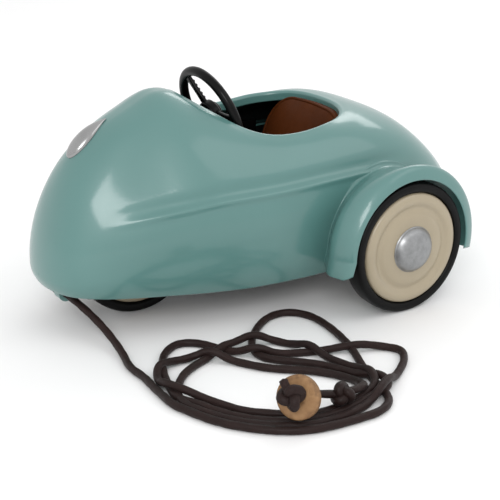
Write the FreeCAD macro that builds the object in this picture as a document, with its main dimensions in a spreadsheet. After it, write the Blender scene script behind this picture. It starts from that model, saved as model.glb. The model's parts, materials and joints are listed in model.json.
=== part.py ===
import FreeCAD, Part
import Sketcher
import math
import os

# Pull-along toy car: teardrop tin body, single front wheel, two rear wheels
# under separate mudguards, open cockpit, wind-up (pull back) rear drive.
#
# Frame: +X forward (nose), +Y left, +Z up.  The layout is drawn with X = 0 on
# the rear axle; every sub-part is then placed by -OriginX so that the origin
# lies on the ground under the middle of the car's length.

doc = FreeCAD.newDocument("toy_car")
V = FreeCAD.Vector

# ---------------------------------------------------------------- dimensions
cells = [
    ("OriginX", 31.15), ("NoseX", 109.8), ("TailX", -47.5),
    ("WallT", 0.9), ("EdgeZ", 12.7), ("EdgeRise", 0.05), ("EdgeKnee", 50.0),
    ("WheelR", 22.5), ("TyreW", 7.9), ("DiscR", 18.9), ("WheelBase", 74.8),
    ("TrackFace", 53.8), ("AxleR", 1.5), ("RunGap", 0.05),
    ("HubTubeR", 3.2), ("GrooveR", 13.9), ("CapR", 7.9), ("CapH", 3.4),
    ("BushR", 3.3), ("BushFlangeR", 5.0),
    ("PlateZ", 14.6), ("PlateT", 1.0), ("SlotHalf", 5.6),
    ("GuardT", 0.8), ("GuardCrownR", 28.1), ("GuardLipR", 24.0),
    ("GuardLipY", 54.2), ("GuardCrownY", 51.4), ("GuardRootR", 23.2),
    ("GuardZ", 13.9), ("GuardShift", -0.2),
    ("SteerX", 43.8), ("SteerZ", 63.3), ("SteerTilt", 70.0),
    ("SteerR", 15.8), ("SteerTubeR", 1.45), ("ColumnR", 1.5),
    ("DashX", 60.0), ("FloorZ", 19.0), ("SheetT", 0.8),
    ("GearModule", 0.6), ("PinionTeeth", 14), ("WheelTeeth", 30),
    ("LayTeeth", 12), ("BarrelTeeth", 34), ("CaseT", 1.1), ("CaseHalf", 9.0),
    ("CordR", 1.25), ("LugX", 101.3), ("LugZ", 11.9), ("LugR", 2.6),
    ("ToggleR", 6.4), ("ToggleT", 2.6), ("LampBulge", 2.2),
]
sheet = doc.addObject("Spreadsheet::Sheet", "Dims")
D = {}
for i, (nm, val) in enumerate(cells):
    sheet.set("A%d" % (i + 1), nm)
    sheet.set("B%d" % (i + 1), repr(val))
    sheet.setAlias("B%d" % (i + 1), nm)
    D[nm] = float(val)
doc.recompute()


class Q:
    """A number together with the sheet expression that drives it."""
    def __init__(self, v, e):
        self.v, self.e = float(v), e
    def _o(self, o):
        return o if isinstance(o, Q) else Q(o, "%.6f" % o if o >= 0 else "(%.6f)" % o)
    def __add__(self, o):
        o = self._o(o); return Q(self.v + o.v, "(%s + %s)" % (self.e, o.e))
    def __sub__(self, o):
        o = self._o(o); return Q(self.v - o.v, "(%s - %s)" % (self.e, o.e))
    def __mul__(self, o):
        o = self._o(o); return Q(self.v * o.v, "(%s * %s)" % (self.e, o.e))
    __radd__ = __add__
    __rmul__ = __mul__
    def __rsub__(self, o):
        return self._o(o) - self


def S(name):
    return Q(D[name], "Dims." + name)


def N(x):
    return x if isinstance(x, Q) else Q(x, "%.6f" % x)


PARTS = []


def keep(obj, label, base=(0, 0, 0), rot=None):
    """Register a finished sub-part and put it in the car's frame."""
    obj.Label = label
    if rot is None:
        rot = FreeCAD.Rotation()
    obj.Placement = FreeCAD.Placement(V(base[0] - D["OriginX"], base[1], base[2]), rot)
    obj.setExpression("Placement.Base.x", "%.6f - Dims.OriginX" % base[0])
    PARTS.append(obj)
    return obj


def plane(body, role):
    for f in body.Origin.OriginFeatures:
        if f.Role == role:
            return f


def sketch(body, role, pts, name):
    """Closed polygon sketch, every vertex held by driven distances."""
    sk = body.newObject("Sketcher::SketchObject", name)
    sk.AttachmentSupport = [(plane(body, role), "")]
    sk.MapMode = "FlatFace"
    n = len(pts)
    P = [(N(a), N(b)) for a, b in pts]
    for i in range(n):
        a, b = P[i], P[(i + 1) % n]
        sk.addGeometry(Part.LineSegment(V(a[0].v, a[1].v, 0), V(b[0].v, b[1].v, 0)), False)
    for i in range(n):
        sk.addConstraint(Sketcher.Constraint("Coincident", i, 2, (i + 1) % n, 1))
    for i in range(n):
        x, y = P[i]
        for q, kind, ax in ((x, "DistanceX", -2), (y, "DistanceY", -1)):
            if abs(q.v) < 1e-9:
                sk.addConstraint(Sketcher.Constraint("PointOnObject", i, 1, ax))
            else:
                k = sk.addConstraint(Sketcher.Constraint(kind, -1, 1, i, 1, q.v))
                if "Dims" in q.e:
                    sk.setExpression("Constraints[%d]" % k, q.e)
    return sk


def rev_body(label, pts, base=(0, 0, 0), rot=None, place=True):
    """Turned piece: (radius, axial) polygon revolved about the Y axis."""
    body = doc.addObject("PartDesign::Body", label)
    sk = sketch(body, "XY_Plane", pts, label + "_profile")
    rv = body.newObject("PartDesign::Revolution", label + "_turn")
    rv.Profile = sk
    rv.ReferenceAxis = (sk, ["V_Axis"])
    rv.Angle = 360.0
    sk.Visibility = False
    body.Tip = rv
    if place:
        keep(body, label, base, rot)
    return body


def pad_body(label, pts, role, length, base=(0, 0, 0), rot=None, mid=False):
    body = doc.addObject("PartDesign::Body", label)
    sk = sketch(body, role, pts, label + "_outline")
    pd = body.newObject("PartDesign::Pad", label + "_pad")
    pd.Profile = sk
    L = N(length)
    pd.Length = L.v
    if "Dims" in L.e:
        pd.setExpression("Length", L.e)
    pd.Midplane = mid
    body.Tip = pd
    keep(body, label, base, rot)
    return body


def feat(label, shape, base=(0, 0, 0)):
    o = doc.addObject("Part::Feature", label)
    o.Shape = shape
    keep(o, label, base)
    return o


# ------------------------------------------------------------ body form
def spline(xs, ys):
    """Natural cubic through (xs, ys)."""
    n = len(xs)
    hh = [xs[i + 1] - xs[i] for i in range(n - 1)]
    al = [0.0] * n
    for i in range(1, n - 1):
        al[i] = 3 * ((ys[i + 1] - ys[i]) / hh[i] - (ys[i] - ys[i - 1]) / hh[i - 1])
    l, mu, z = [1.0] * n, [0.0] * n, [0.0] * n
    for i in range(1, n - 1):
        l[i] = 2 * (xs[i + 1] - xs[i - 1]) - hh[i - 1] * mu[i - 1]
        mu[i] = hh[i] / l[i]
        z[i] = (al[i] - hh[i - 1] * z[i - 1]) / l[i]
    c, b, d = [0.0] * n, [0.0] * n, [0.0] * n
    for j in range(n - 2, -1, -1):
        c[j] = z[j] - mu[j] * c[j + 1]
        b[j] = (ys[j + 1] - ys[j]) / hh[j] - hh[j] * (c[j + 1] + 2 * c[j]) / 3
        d[j] = (c[j + 1] - c[j]) / (3 * hh[j])
    def g(x):
        x = min(max(x, xs[0]), xs[-1])
        j = 0
        while j < n - 2 and x > xs[j + 1]:
            j += 1
        t = x - xs[j]
        return ys[j] + b[j] * t + c[j] * t * t + d[j] * t * t * t
    return g


XN, XT = D["NoseX"], D["TailX"]
XM, XA = (XN + XT) / 2, (XN - XT) / 2


def phi(x):
    return math.acos(max(-1.0, min(1.0, (x - XM) / XA)))


def table(rows):
    rows = sorted(rows, key=lambda r: -r[0])
    return spline([phi(r[0]) for r in rows], [r[1] for r in rows])


ZP, ZPT = 20.0, 27.0
# centre-line height, keel height, height of the widest line, half width,
# and the fullness of the upper and lower quarter of each cross-section
ztop = table([(XN, ZP), (108, 33), (104, 45), (98.5, 55), (92, 62), (84, 67.3), (75, 71.5), (67, 74.6), (57, 73.0), (40, 68.7), (20, 66.5), (0, 64.0), (-20, 57.0), (-35, 45.5), (-43, 37), (XT, ZPT)])
zlow = table([(XN, ZP), (107, 14), (100, 9), (80, 4), (40, 0), (-20, 2), (-40, 12), (XT, ZPT)])
zwid = table([(XN, ZP), (105, 21), (90, 24), (70, 28), (50, 30), (20, 32), (-10, 33), (-30, 31), (XT, ZPT)])
ywid = table([(XN, 0), (108.3, 9.5), (105, 15.5), (100, 19.5), (92.7, 23.5), (84, 27), (76, 29.5), (63, 33), (52, 35), (40, 36.6), (20, 37.6), (0, 37.2), (-20, 34), (-35, 28.5), (-43, 20), (XT, 0)])
nexp = table([(XN, 2.0), (105, 2.0), (95, 1.75), (85, 1.6), (66, 1.7), (40, 2.0), (20, 2.3), (0, 2.7), (-20, 2.8), (-35, 2.5), (XT, 2.0)])
nlow = table([(XN, 2.0), (100, 2.2), (80, 2.4), (70, 2.6), (20, 3.0), (-20, 2.6), (XT, 2.0)])


def sect(x, a):
    """Half section point (y, z); a runs 0 (top) to pi (keel)."""
    p = phi(x)
    yw, zw = ywid(p), zwid(p)
    s, c = math.sin(a), math.cos(a)
    if a <= math.pi / 2:
        n = nexp(p)
        return yw * max(s, 0.0) ** (2 / n), zw + (ztop(p) - zw) * max(c, 0.0) ** (2 / n)
    n = nlow(p)
    return yw * max(s, 0.0) ** (2 / n), zw - (zw - zlow(p)) * max(-c, 0.0) ** (2 / n)


def hull_point(f, a, sgn, off):
    """Point of the form at station angle f, moved inwards by off."""
    x = XM + XA * math.cos(f)
    y, z = sect(x, a)
    p = V(x, sgn * y, z)
    if off == 0:
        return p
    e = 1e-3
    def pt(ff, aa):
        ff = min(max(ff, 1e-4), math.pi - 1e-4)
        xx = XM + XA * math.cos(ff)
        if aa < 0:
            yy, zz = sect(xx, -aa); yy = -yy
        elif aa > math.pi:
            yy, zz = sect(xx, 2 * math.pi - aa); yy = -yy
        else:
            yy, zz = sect(xx, aa)
        return V(xx, sgn * yy, zz)
    du = pt(f + e, a).sub(pt(f - e, a))
    dv = pt(f, a + e).sub(pt(f, a - e))
    n = du.cross(dv)
    if n.Length < 1e-12:
        return p
    n.normalize()
    ctr = V(min(max(x, XT + 25), XN - 30), 0, 32)
    if n.dot(ctr.sub(p)) < 0:
        n = n.negative()
    return p.add(n.multiply(off))


def form_solid(off):
    """Closed teardrop: surface through a grid of section points, one wall in."""
    stations = [math.pi * k / 30 for k in range(1, 30)]
    na = 16
    wires = []
    for f in stations:
        pts = []
        for k in range(0, na + 1):
            a = math.pi * k / na
            pts.append(hull_point(f, a, 1, off))
        for k in range(na - 1, 0, -1):
            a = math.pi * k / na
            pts.append(hull_point(f, a, -1, off))
        # stations are kept plane: the small drift in x is taken out
        xm = sum(p.x for p in pts) / len(pts)
        pts = [V(xm, p.y, p.z) for p in pts]
        bs = Part.BSplineCurve()
        bs.interpolate(Points=pts, PeriodicFlag=True)
        wires.append(Part.Wire([bs.toShape()]))
    ends = (Part.Vertex(V(XN - off, 0, ZP)), Part.Vertex(V(XT + off, 0, ZPT)))
    return Part.makeLoft([ends[0]] + wires + [ends[1]], True, False)


OUT = form_solid(0.0)
INN = form_solid(D["WallT"])
print("form volumes", round(OUT.Volume), round(INN.Volume), OUT.isValid(), INN.isValid())
BIG = 400.0


def edge_cutter():
    """Everything below the body's lower edge, which rises toward the nose."""
    k, z0, s = D["EdgeKnee"], D["EdgeZ"], D["EdgeRise"]
    pts = [V(-200, -BIG, z0), V(k, -BIG, z0), V(200, -BIG, z0 + (200 - k) * s), V(200, -BIG, -60), V(-200, -BIG, -60)]
    return Part.Face(Part.makePolygon(pts + [pts[0]])).extrude(V(0, 2 * BIG, 0))


LOWCUT = edge_cutter()

# cockpit opening: an egg in plan, narrow toward the steering wheel
XF, XR = 59.0, -2.0


def rim_plan(off=0.0, n=48):
    tab = [(XF, 0), (57.8, 4.6), (54, 9.6), (49, 14.8), (45, 18.3), (36, 22.8), (28, 24.2), (18, 24.2), (8, 21.6), (1.5, 15.6), (-1.1, 8.6), (XR, 0)]
    xm, xa = (XF + XR) / 2, (XF - XR) / 2
    f = spline([math.acos(max(-1.0, min(1.0, (q[0] - xm) / xa))) for q in tab], [q[1] for q in tab])
    pts = []
    for i in range(n):
        t = 2 * math.pi * i / n
        x = xm + xa * math.cos(t)
        y = f(t if t <= math.pi else 2 * math.pi - t)
        pts.append([x, y if t <= math.pi else -y])
    if off:
        out = []
        for i in range(n):
            a, b = pts[i - 1], pts[(i + 1) % n]
            dx, dy = b[0] - a[0], b[1] - a[1]
            L = math.hypot(dx, dy)
            out.append([pts[i][0] + dy / L * off, pts[i][1] - dx / L * off])
        pts = out
    return pts


def rim_prism(off, z0, z1):
    pts = [V(x, y, z0) for x, y in rim_plan(off)]
    bs = Part.BSplineCurve()
    bs.interpolate(Points=pts, PeriodicFlag=True)
    return Part.Face(Part.Wire([bs.toShape()])).extrude(V(0, 0, z1 - z0))


HOLE = rim_prism(0.0, 36, 110)
shell = OUT.cut(INN).cut(LOWCUT)
collar = rim_prism(D["WallT"], 36, 110).cut(HOLE)
drop = OUT.copy()
drop.translate(V(0, 0, -3.2))
lip = collar.common(OUT).cut(drop)
shell = shell.cut(HOLE).fuse(lip)


def cyl_y(x, z, r, y0, y1):
    return Part.makeCylinder(r, y1 - y0, V(x, y0, z), V(0, 1, 0))


AX = (0.0, D["WheelR"])
shell = shell.cut(cyl_y(0, D["WheelR"], D["BushR"] + 0.05, -60, 60))
print("shell", shell.isValid(), len(shell.Solids), round(shell.Volume))
feat("body_shell", shell)


def inside(shape):
    """Trim a piece to the room inside the shell."""
    return shape.common(INN)


def half_at(x, z, off):
    """Half width of the lower body at height z, less off."""
    lo, hi = math.pi / 2, math.pi
    if sect(x, hi)[1] > z:
        return 0.0
    for _ in range(40):
        m = (lo + hi) / 2
        if sect(x, m)[1] > z:
            lo = m
        else:
            hi = m
    return max(sect(x, lo)[0] - off, 0.0)


def box(x0, x1, y0, y1, z0, z1):
    return Part.makeBox(x1 - x0, y1 - y0, z1 - z0, V(x0, y0, z0))


def prism_xz(pts, y0, y1):
    w = Part.makePolygon([V(x, y0, z) for x, z in pts] + [V(pts[0][0], y0, pts[0][1])])
    return Part.Face(w).extrude(V(0, y1 - y0, 0))


# ------------------------------------------------------------ nose lamp
lamp = doc.addObject("Part::Ellipsoid", "lamp_form")
lamp.Radius1, lamp.Radius2, lamp.Radius3 = 3.3, 8.5, 5.1
lamp.Angle1, lamp.Angle2, lamp.Angle3 = -90, 90, 360
doc.recompute()
lr = FreeCAD.Rotation(V(0.814, 0, -0.581), V(0, 1, 0), V(0.581, 0, 0.814), "ZXY")
lsh = lamp.Shape.copy()
lsh.Placement = FreeCAD.Placement(V(90.2, 0, 62.4), lr)
doc.removeObject("lamp_form")
lsh = lsh.cut(OUT)
print("lamp", lsh.isValid(), len(lsh.Solids), round(lsh.Volume, 1), lsh.BoundBox)
feat("nose_lamp", lsh)


# ------------------------------------------------------------ mudguards
def guard(sgn):
    cr, lr_, rr = D["GuardCrownR"], D["GuardLipR"], D["GuardRootR"]
    cy, ly = D["GuardCrownY"], D["GuardLipY"]
    out = [(33.5, rr - 0.7), (37.0, rr), (40.0, rr + 1.0), (44.0, cr - 2.7), (48.0, cr - 1.2), (50.3, cr - 0.2), (cy, cr), (52.5, cr - 0.45), (53.5, cr - 1.75), (ly, lr_)]
    def off(pts, t):
        q = []
        for i, (a, b) in enumerate(pts):
            p0, p1 = pts[max(i - 1, 0)], pts[min(i + 1, len(pts) - 1)]
            dx, dy = p1[0] - p0[0], p1[1] - p0[1]
            L = math.hypot(dx, dy)
            q.append((a + dy / L * t, b - dx / L * t))
        return q
    inn = off(out, D["GuardT"])
    cx, cz = D["GuardShift"], D["WheelR"]
    def curve(pts):
        b = Part.BSplineCurve()
        b.interpolate(Points=[V(cx + r, sgn * y, cz) for y, r in pts])
        return b.toShape()
    def seg(a, b):
        return Part.makeLine(V(cx + a[1], sgn * a[0], cz), V(cx + b[1], sgn * b[0], cz))
    w = Part.Wire([curve(out), seg(out[-1], inn[-1]), curve(list(reversed(inn))), seg(inn[0], out[0])])
    f = Part.Face(w)
    skirt = f.extrude(V(0, 0, -20))
    g = f.revolve(V(cx, 0, cz), V(0, 1, 0), -220).fuse(skirt)
    gz = D["GuardZ"]
    foot = [(30, -60), (30, gz - 1.5), (37, gz), (60, gz + 5.0), (60, -60)]
    under = Part.Face(Part.makePolygon([V(-100, sgn * a, b) for a, b in foot + foot[:1]])).extrude(V(200, 0, 0))
    g = g.cut(under)
    g = g.cut(OUT)
    so = [x for x in g.Solids if x.Volume > 50]
    return so[0] if len(so) == 1 else Part.makeCompound(so)


for side, sgn in (("left", 1), ("right", -1)):
    g = guard(sgn)
    print("guard", side, g.isValid(), len(g.Solids), round(g.Volume, 1), g.BoundBox)
    feat("mudguard_" + side, g)

# ------------------------------------------------------------ wheels
WR, DR, GR = S("WheelR"), S("DiscR"), S("GrooveR")
tyre_half = [(15.2, 2.9), (18.0, 2.9), (18.4, 2.5), (19.15, 2.5), (19.35, 3.4), (20.1, 3.9), (21.3, 3.9), (22.1, 3.4), (22.5, 2.3)]


def tyre(label, y0):
    up = []
    for r, y in tyre_half:
        rq = WR - (D["WheelR"] - r) if r > 19 else DR - (D["DiscR"] - r)
        up.append((rq, y))
    dn = [(r, -y) for r, y in reversed(up)]
    return rev_body(label, up + dn, (y0[0], y0[1], D["WheelR"]))


def disc(label, y0, sgn, bore):
    prof = [(bore, 4.45), (7.5, 4.45), (11.0, 4.35), (GR - 0.9, 3.95), (GR, 3.45), (GR + 0.9, 4.0), (16.5, 4.35), (18.2, 4.0), (DR, 3.3), (DR, 2.7), (DR - 0.55, 2.75), (17.9, 3.35), (16.5, 3.72), (15.1, 3.4), (14.1, 2.85), (13.7, 2.85), (12.8, 3.28), (11.0, 3.72), (7.5, 3.85), (bore, 3.85)]
    rot = FreeCAD.Rotation(V(1, 0, 0), 0 if sgn > 0 else 180)
    return rev_body(label, prof, (y0[0], y0[1], D["WheelR"]), rot)


def tube(label, r0, r1, ya, yb, x=0.0, z=None):
    """Plain turned sleeve between ya and yb."""
    return rev_body(label, [(r0, ya), (r1, ya), (r1, yb), (r0, yb)], (x, 0, D["WheelR"] if z is None else z))


AR, GAP = S("AxleR"), S("RunGap")
MID = D["TrackFace"] - D["TyreW"] / 2
for side, sgn in (("left", 1), ("right", -1)):
    tyre("rear_tyre_" + side, (0, sgn * MID))
    disc("rear_wheel_outer_disc_" + side, (0, sgn * MID), sgn, AR + 0.02)
    disc("rear_wheel_inner_disc_" + side, (0, sgn * MID), -sgn, AR + 0.02)
    tube("rear_hub_" + side, AR + 0.02, S("HubTubeR"), sgn * MID - 3.8, sgn * MID + 3.8)
    cap = [(0, 4.5), (S("CapR"), 4.5), (S("CapR") - 0.1, 5.0), (7.3, 5.85), (6.4, 6.65), (5.0, 7.3), (3.4, 7.7), (1.6, 7.88), (0, 7.9), (0, 7.3), (1.5, 7.3), (3.2, 7.1), (4.7, 6.7), (6.0, 6.05), (6.9, 5.3), (7.2, 5.0), (0, 5.0)]
    cap = [(S("CapR"), 4.5), (S("CapR") - 0.1, 5.0), (7.3, 5.85), (6.4, 6.65), (5.0, 7.3), (3.4, 7.7), (1.6, 7.88), (0, 7.9), (0, 7.35), (1.5, 7.33), (3.2, 7.15), (4.7, 6.75), (6.0, 6.1), (6.8, 5.3), (7.0, 4.5)]
    rot = FreeCAD.Rotation(V(1, 0, 0), 0 if sgn > 0 else 180)
    rev_body("hubcap_" + side, cap, (0, sgn * MID, D["WheelR"]), rot)
    # bearing bush in the body side, running spacer outside it
    fl = [(AR + GAP, 30.0), (S("BushR"), 30.0), (S("BushR"), 38.3), (S("BushFlangeR"), 38.3), (S("BushFlangeR"), 39.4), (AR + GAP, 39.4)]
    rev_body("axle_bush_" + side, fl, (0, 0, D["WheelR"]), rot)
    sp = [(AR + 0.02, 39.5), (2.7, 39.5), (2.7, MID - 4.5), (AR + 0.02, MID - 4.5)]
    rev_body("axle_spacer_" + side, sp, (0, 0, D["WheelR"]), rot)
ax = doc.addObject("Part::Cylinder", "rear_axle")
ax.Radius, ax.Height = D["AxleR"], 2 * (MID + 5.6)
ax.setExpression("Radius", "Dims.AxleR")
ax.setExpression("Height", "2 * (Dims.TrackFace - Dims.TyreW / 2 + 5.6)")
keep(ax, "rear_axle", (0, -(MID + 5.6), D["WheelR"]), FreeCAD.Rotation(V(1, 0, 0), -90))

WB = D["WheelBase"]
tyre("front_tyre", (WB, 0))
disc("front_wheel_disc_left", (WB, 0), 1, AR + 0.15)
disc("front_wheel_disc_right", (WB, 0), -1, AR + 0.15)
rev_body("front_hub", [(AR + GAP, -3.8), (S("HubTubeR"), -3.8), (S("HubTubeR"), 3.8), (AR + GAP, 3.8)], (WB, 0, D["WheelR"]))
rev_body("front_axle", [(0, -8.6), (2.4, -8.6), (2.4, -7.7), (AR, -7.7), (AR, 7.7), (2.4, 7.7), (2.4, 8.6), (0, 8.6)], (WB, 0, D["WheelR"]))
for side, sgn in (("left", 1), ("right", -1)):
    rot = FreeCAD.Rotation(V(1, 0, 0), 0 if sgn > 0 else 180)
    rev_body("front_washer_" + side, [(AR + 0.02, 4.62), (3.2, 4.62), (3.2, 6.38), (AR + 0.02, 6.38)], (WB, 0, D["WheelR"]), rot)

# ------------------------------------------------------------ base plate
PZ, PT = D["PlateZ"], D["PlateT"]
xs = [-38 + i * (100.5 + 38) / 34 for i in range(35)]
left = [(x, half_at(x, PZ + 0.5, D["WallT"] + 0.35)) for x in xs]
left = [p for p in left if p[1] > 3.0]
outline = left + [(x, -y) for x, y in reversed(left)]
plate = doc.addObject("PartDesign::Body", "base_plate")
sk = plate.newObject("Sketcher::SketchObject", "base_plate_outline")
sk.AttachmentSupport = [(plane(plate, "XY_Plane"), "")]
sk.MapMode = "FlatFace"
n = len(outline)
for i in range(n):
    a, b = outline[i], outline[(i + 1) % n]
    sk.addGeometry(Part.LineSegment(V(a[0], a[1], 0), V(b[0], b[1], 0)), False)
for i in range(n):
    sk.addConstraint(Sketcher.Constraint("Coincident", i, 2, (i + 1) % n, 1))
pd = plate.newObject("PartDesign::Pad", "base_plate_pad")
pd.Profile = sk
pd.setExpression("Length", "Dims.PlateT")
doc.recompute()
v0 = pd.Shape.Volume
TABS = [(84.0, 14.0), (-23.0, 22.5)]
RIV_F, RIV_R = [(WB - 3.4, 10.4), (WB + 3.4, 10.4)], [(-3.6, 26.0), (3.6, 26.0)]
MSC = [(-9.5, 11.7)]
hs = plate.newObject("Sketcher::SketchObject", "base_plate_holes")
hs.AttachmentSupport = [(plane(plate, "XY_Plane"), "")]
hs.MapMode = "FlatFace"
for pts, rad in ((TABS, 1.05), (RIV_F, 0.95), (RIV_R, 0.95), (MSC, 1.05)):
    for x, y in pts:
        for sg in (1, -1):
            hs.addGeometry(Part.Circle(V(x, sg * y, 0), V(0, 0, 1), rad), False)
sl = D["SlotHalf"]
x0, x1 = WB - 23.6, WB + 23.6
c4 = [(x0, -sl), (x1, -sl), (x1, sl), (x0, sl)]
b0 = hs.GeometryCount
for i in range(4):
    a, b = c4[i], c4[(i + 1) % 4]
    hs.addGeometry(Part.LineSegment(V(a[0], a[1], 0), V(b[0], b[1], 0)), False)
for i in range(4):
    hs.addConstraint(Sketcher.Constraint("Coincident", b0 + i, 2, b0 + (i + 1) % 4, 1))
k = hs.addConstraint(Sketcher.Constraint("DistanceY", -1, 1, b0 + 2, 1, sl))
hs.setExpression("Constraints[%d]" % k, "Dims.SlotHalf")
pk = plate.newObject("PartDesign::Pocket", "base_plate_openings")
pk.Profile = hs
pk.Length = 6.0
pk.Midplane = True
plate.Tip = pk
doc.recompute()
print("base plate", round(v0, 1), "->", round(pk.Shape.Volume, 1))
keep(plate, "base_plate", (0, 0, PZ))


def screws(label, pts, r, head, z0, z1, both=True):
    """Group of identical fasteners standing up through the plate."""
    sh = []
    for x, y in pts:
        for sg in ((1, -1) if both else (1,)):
            c = Part.makeCylinder(r, z1 - z0, V(x, sg * y, z0))
            h = Part.makeCylinder(head, 1.0, V(x, sg * y, z0 - 1.0))
            h = h.makeChamfer(0.35, [e for e in h.Edges if abs(e.BoundBox.ZMin - (z0 - 1.0)) < 1e-6 and e.BoundBox.ZLength < 1e-6])
            h = h.cut(box(x - head, x + head, sg * y - 0.25, sg * y + 0.25, z0 - 1.1, z0 - 0.6))
            sh.append(c.fuse(h).removeSplitter())
    feat(label, Part.makeCompound(sh))


def rivets(label, pts, zt):
    sh = []
    for x, y in pts:
        for sg in (1, -1):
            c = Part.makeCylinder(0.9, zt - PZ, V(x, sg * y, PZ))
            a = Part.makeCylinder(1.7, 0.5, V(x, sg * y, PZ - 0.5))
            b = Part.makeCylinder(1.5, 0.5, V(x, sg * y, zt))
            sh.append(c.fuse([a, b]).removeSplitter())
    feat(label, Part.makeCompound(sh))


screws("base_screws", TABS, 0.95, 2.0, PZ, PZ + PT + 3.2)
tabs = []
for x, y in TABS:
    for sg in (1, -1):
        lo, hi = (y - 2.4, y + 16) if sg > 0 else (-y - 16, -y + 2.4)
        t = inside(box(x - 3.0, x + 3.5, lo, hi, PZ + PT, PZ + PT + 1.2))
        t = t.cut(Part.makeCylinder(1.0, 5, V(x, sg * y, PZ)))
        tabs += t.Solids
print("tabs", len(tabs))
feat("shell_tabs", Part.makeCompound(tabs))

# axle brackets: folded ears standing on the plate
def ear(label, x, ya, yb, yfoot, hole, w, top, holes):
    z0 = PZ + PT
    wall = box(x - w, x + w, min(ya, yb), max(ya, yb), z0, top)
    foot = box(x - w, x + w, min(yfoot, yb, ya), max(yfoot, ya, yb), z0, z0 + 1.2)
    sh = wall.fuse(foot).cut(cyl_y(x, D["WheelR"], hole, -60, 60))
    for hx, hy in holes:
        sh = sh.cut(Part.makeCylinder(0.95, 6, V(hx, hy, PZ)))
    feat(label, sh.removeSplitter())


for side, sg in (("left", 1), ("right", -1)):
    ear("front_axle_bracket_" + side, WB, sg * 6.4, sg * 7.6, sg * 13.4, D["AxleR"] + 0.01, 6.0, 27.5, [(a, sg * b) for a, b in RIV_F])
    ear("rear_axle_bracket_" + side, 0, sg * 30.2, sg * 31.4, sg * 23.0, D["BushR"] + 0.01, 6.5, 28.0, [(a, sg * b) for a, b in RIV_R])
rivets("front_bracket_rivets", RIV_F, PZ + PT + 1.2)
rivets("rear_bracket_rivets", RIV_R, PZ + PT + 1.2)

# ------------------------------------------------------------ tow lug
lx, lz, lr2 = D["LugX"], D["LugZ"], D["LugR"]
lug = cyl_y(lx, lz, lr2, -2.0, 2.0).fuse(box(lx - lr2, lx + lr2, -2.0, 2.0, lz, PZ))
lug = lug.fuse(box(lx - 4.2, lx + 1.5, -2.0, 2.0, PZ - 0.9, PZ)).cut(cyl_y(lx, lz, D["CordR"] + 0.1, -5, 5))
feat("tow_lug", lug.removeSplitter())

# ------------------------------------------------------------ cockpit
T = D["SheetT"]
FZ = D["FloorZ"]
tray = box(9, 50, -26, 26, FZ, FZ + T)
tray = tray.fuse([box(9, 50, 26 - T, 26, FZ, 50), box(9, 50, -26, -26 + T, FZ, 50), box(50 - T, 50, -26, 26, FZ, 47.5), box(50 - T, 60, -26, 26, 47.5 - T, 47.5)])
tray = inside(tray).removeSplitter()
print("tray", tray.isValid(), len(tray.Solids), round(tray.Volume))
feat("cockpit_tray", tray)
fr = [(31, FZ + T), (31, 27.8), (9.0, 27.8), (-2.9, 59.6), (-3.75, 59.6), (8.2, 27.0), (30.2, 27.0), (30.2, FZ + T)]
sf = inside(prism_xz(fr, -20.5, 20.5))


def arch(x0, half, r, z0, z1, L):
    """Upright slab with rounded upper corners, from x0 forward by L."""
    a, c = V(x0, -half, z1 - r), V(x0, half, z1 - r)
    k = r * math.sqrt(0.5)
    w = Part.Wire([Part.makeLine(V(x0, half, z0), c),
                   Part.Arc(c, V(x0, half - r + k, z1 - r + k), V(x0, half - r, z1)).toShape(),
                   Part.makeLine(V(x0, half - r, z1), V(x0, r - half, z1)),
                   Part.Arc(V(x0, r - half, z1), V(x0, r - half - k, z1 - r + k), a).toShape(),
                   Part.makeLine(a, V(x0, -half, z0)), Part.makeLine(V(x0, -half, z0), V(x0, half, z0))])
    return Part.Face(w).extrude(V(L, 0, 0))


sf = sf.common(arch(-20, 20.5, 13.0, 0, 60.0, 80)).removeSplitter()
print("seat frame", sf.isValid(), len(sf.Solids))
feat("seat_frame", sf)
cu = doc.addObject("Part::Box", "seat_cushion_block")
cu.Length, cu.Width, cu.Height = 18.6, 36.0, 6.2
cu.Placement.Base = V(11.8 - D["OriginX"], -18.0, 27.9)
cf = doc.addObject("Part::Fillet", "seat_cushion")
cf.Base = cu
cf.Edges = [(i + 1, 2.2, 2.2) for i in range(12)]
doc.recompute()
cf.Label = "seat_cushion"
PARTS.append(cf)
d = V(-11.9, 0, 31.8); d.normalize()
nn = V(d.z, 0, -d.x)
b0 = V(9.0, 0, 27.8).add(d * 6.6).add(nn * 0.15)
back = arch(0, 22.4, 13.5, 0, 26.8, 6.0)
es = [e for e in back.Edges if abs(e.CenterOfMass.x - 6.0) < 1e-4]
try:
    back = back.makeFillet(2.4, es)
except Exception as e:
    print("backrest fillet", e)
back.Placement = FreeCAD.Placement(b0, FreeCAD.Rotation(nn, V(0, 1, 0), d, "ZXY"))
back = back.cut(rim_prism(8, 0, 100).cut(rim_prism(1.6, 0, 100)).common(box(-20, 3, -60, 60, 50, 100)))
print("backrest", back.isValid(), len(back.Solids), back.BoundBox)
feat("seat_backrest", back)

# ------------------------------------------------------------ steering
tl = math.radians(D["SteerTilt"])
C = V(D["SteerX"], 0, D["SteerZ"])
CD = V(math.sin(tl), 0, -math.cos(tl))
dash = inside(box(D["DashX"], D["DashX"] + T, -30, 30, 47.5, 80))
dash = dash.cut(Part.makeCylinder(3.05, 40, C, CD))
print("dash", dash.isValid(), len(dash.Solids), dash.BoundBox)
feat("dash_panel", dash)
srot = FreeCAD.Rotation(V(0, 0, 1), CD.negative())


def along(label, prof, place=None):
    """Turned piece on the steering axis; axial distance is toward the driver."""
    body = rev_body(label, prof, place=False)
    r1 = FreeCAD.Rotation(V(1, 0, 0), 90)
    keep(body, label, (C.x, C.y, C.z), srot.multiply(r1))
    return body


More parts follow.
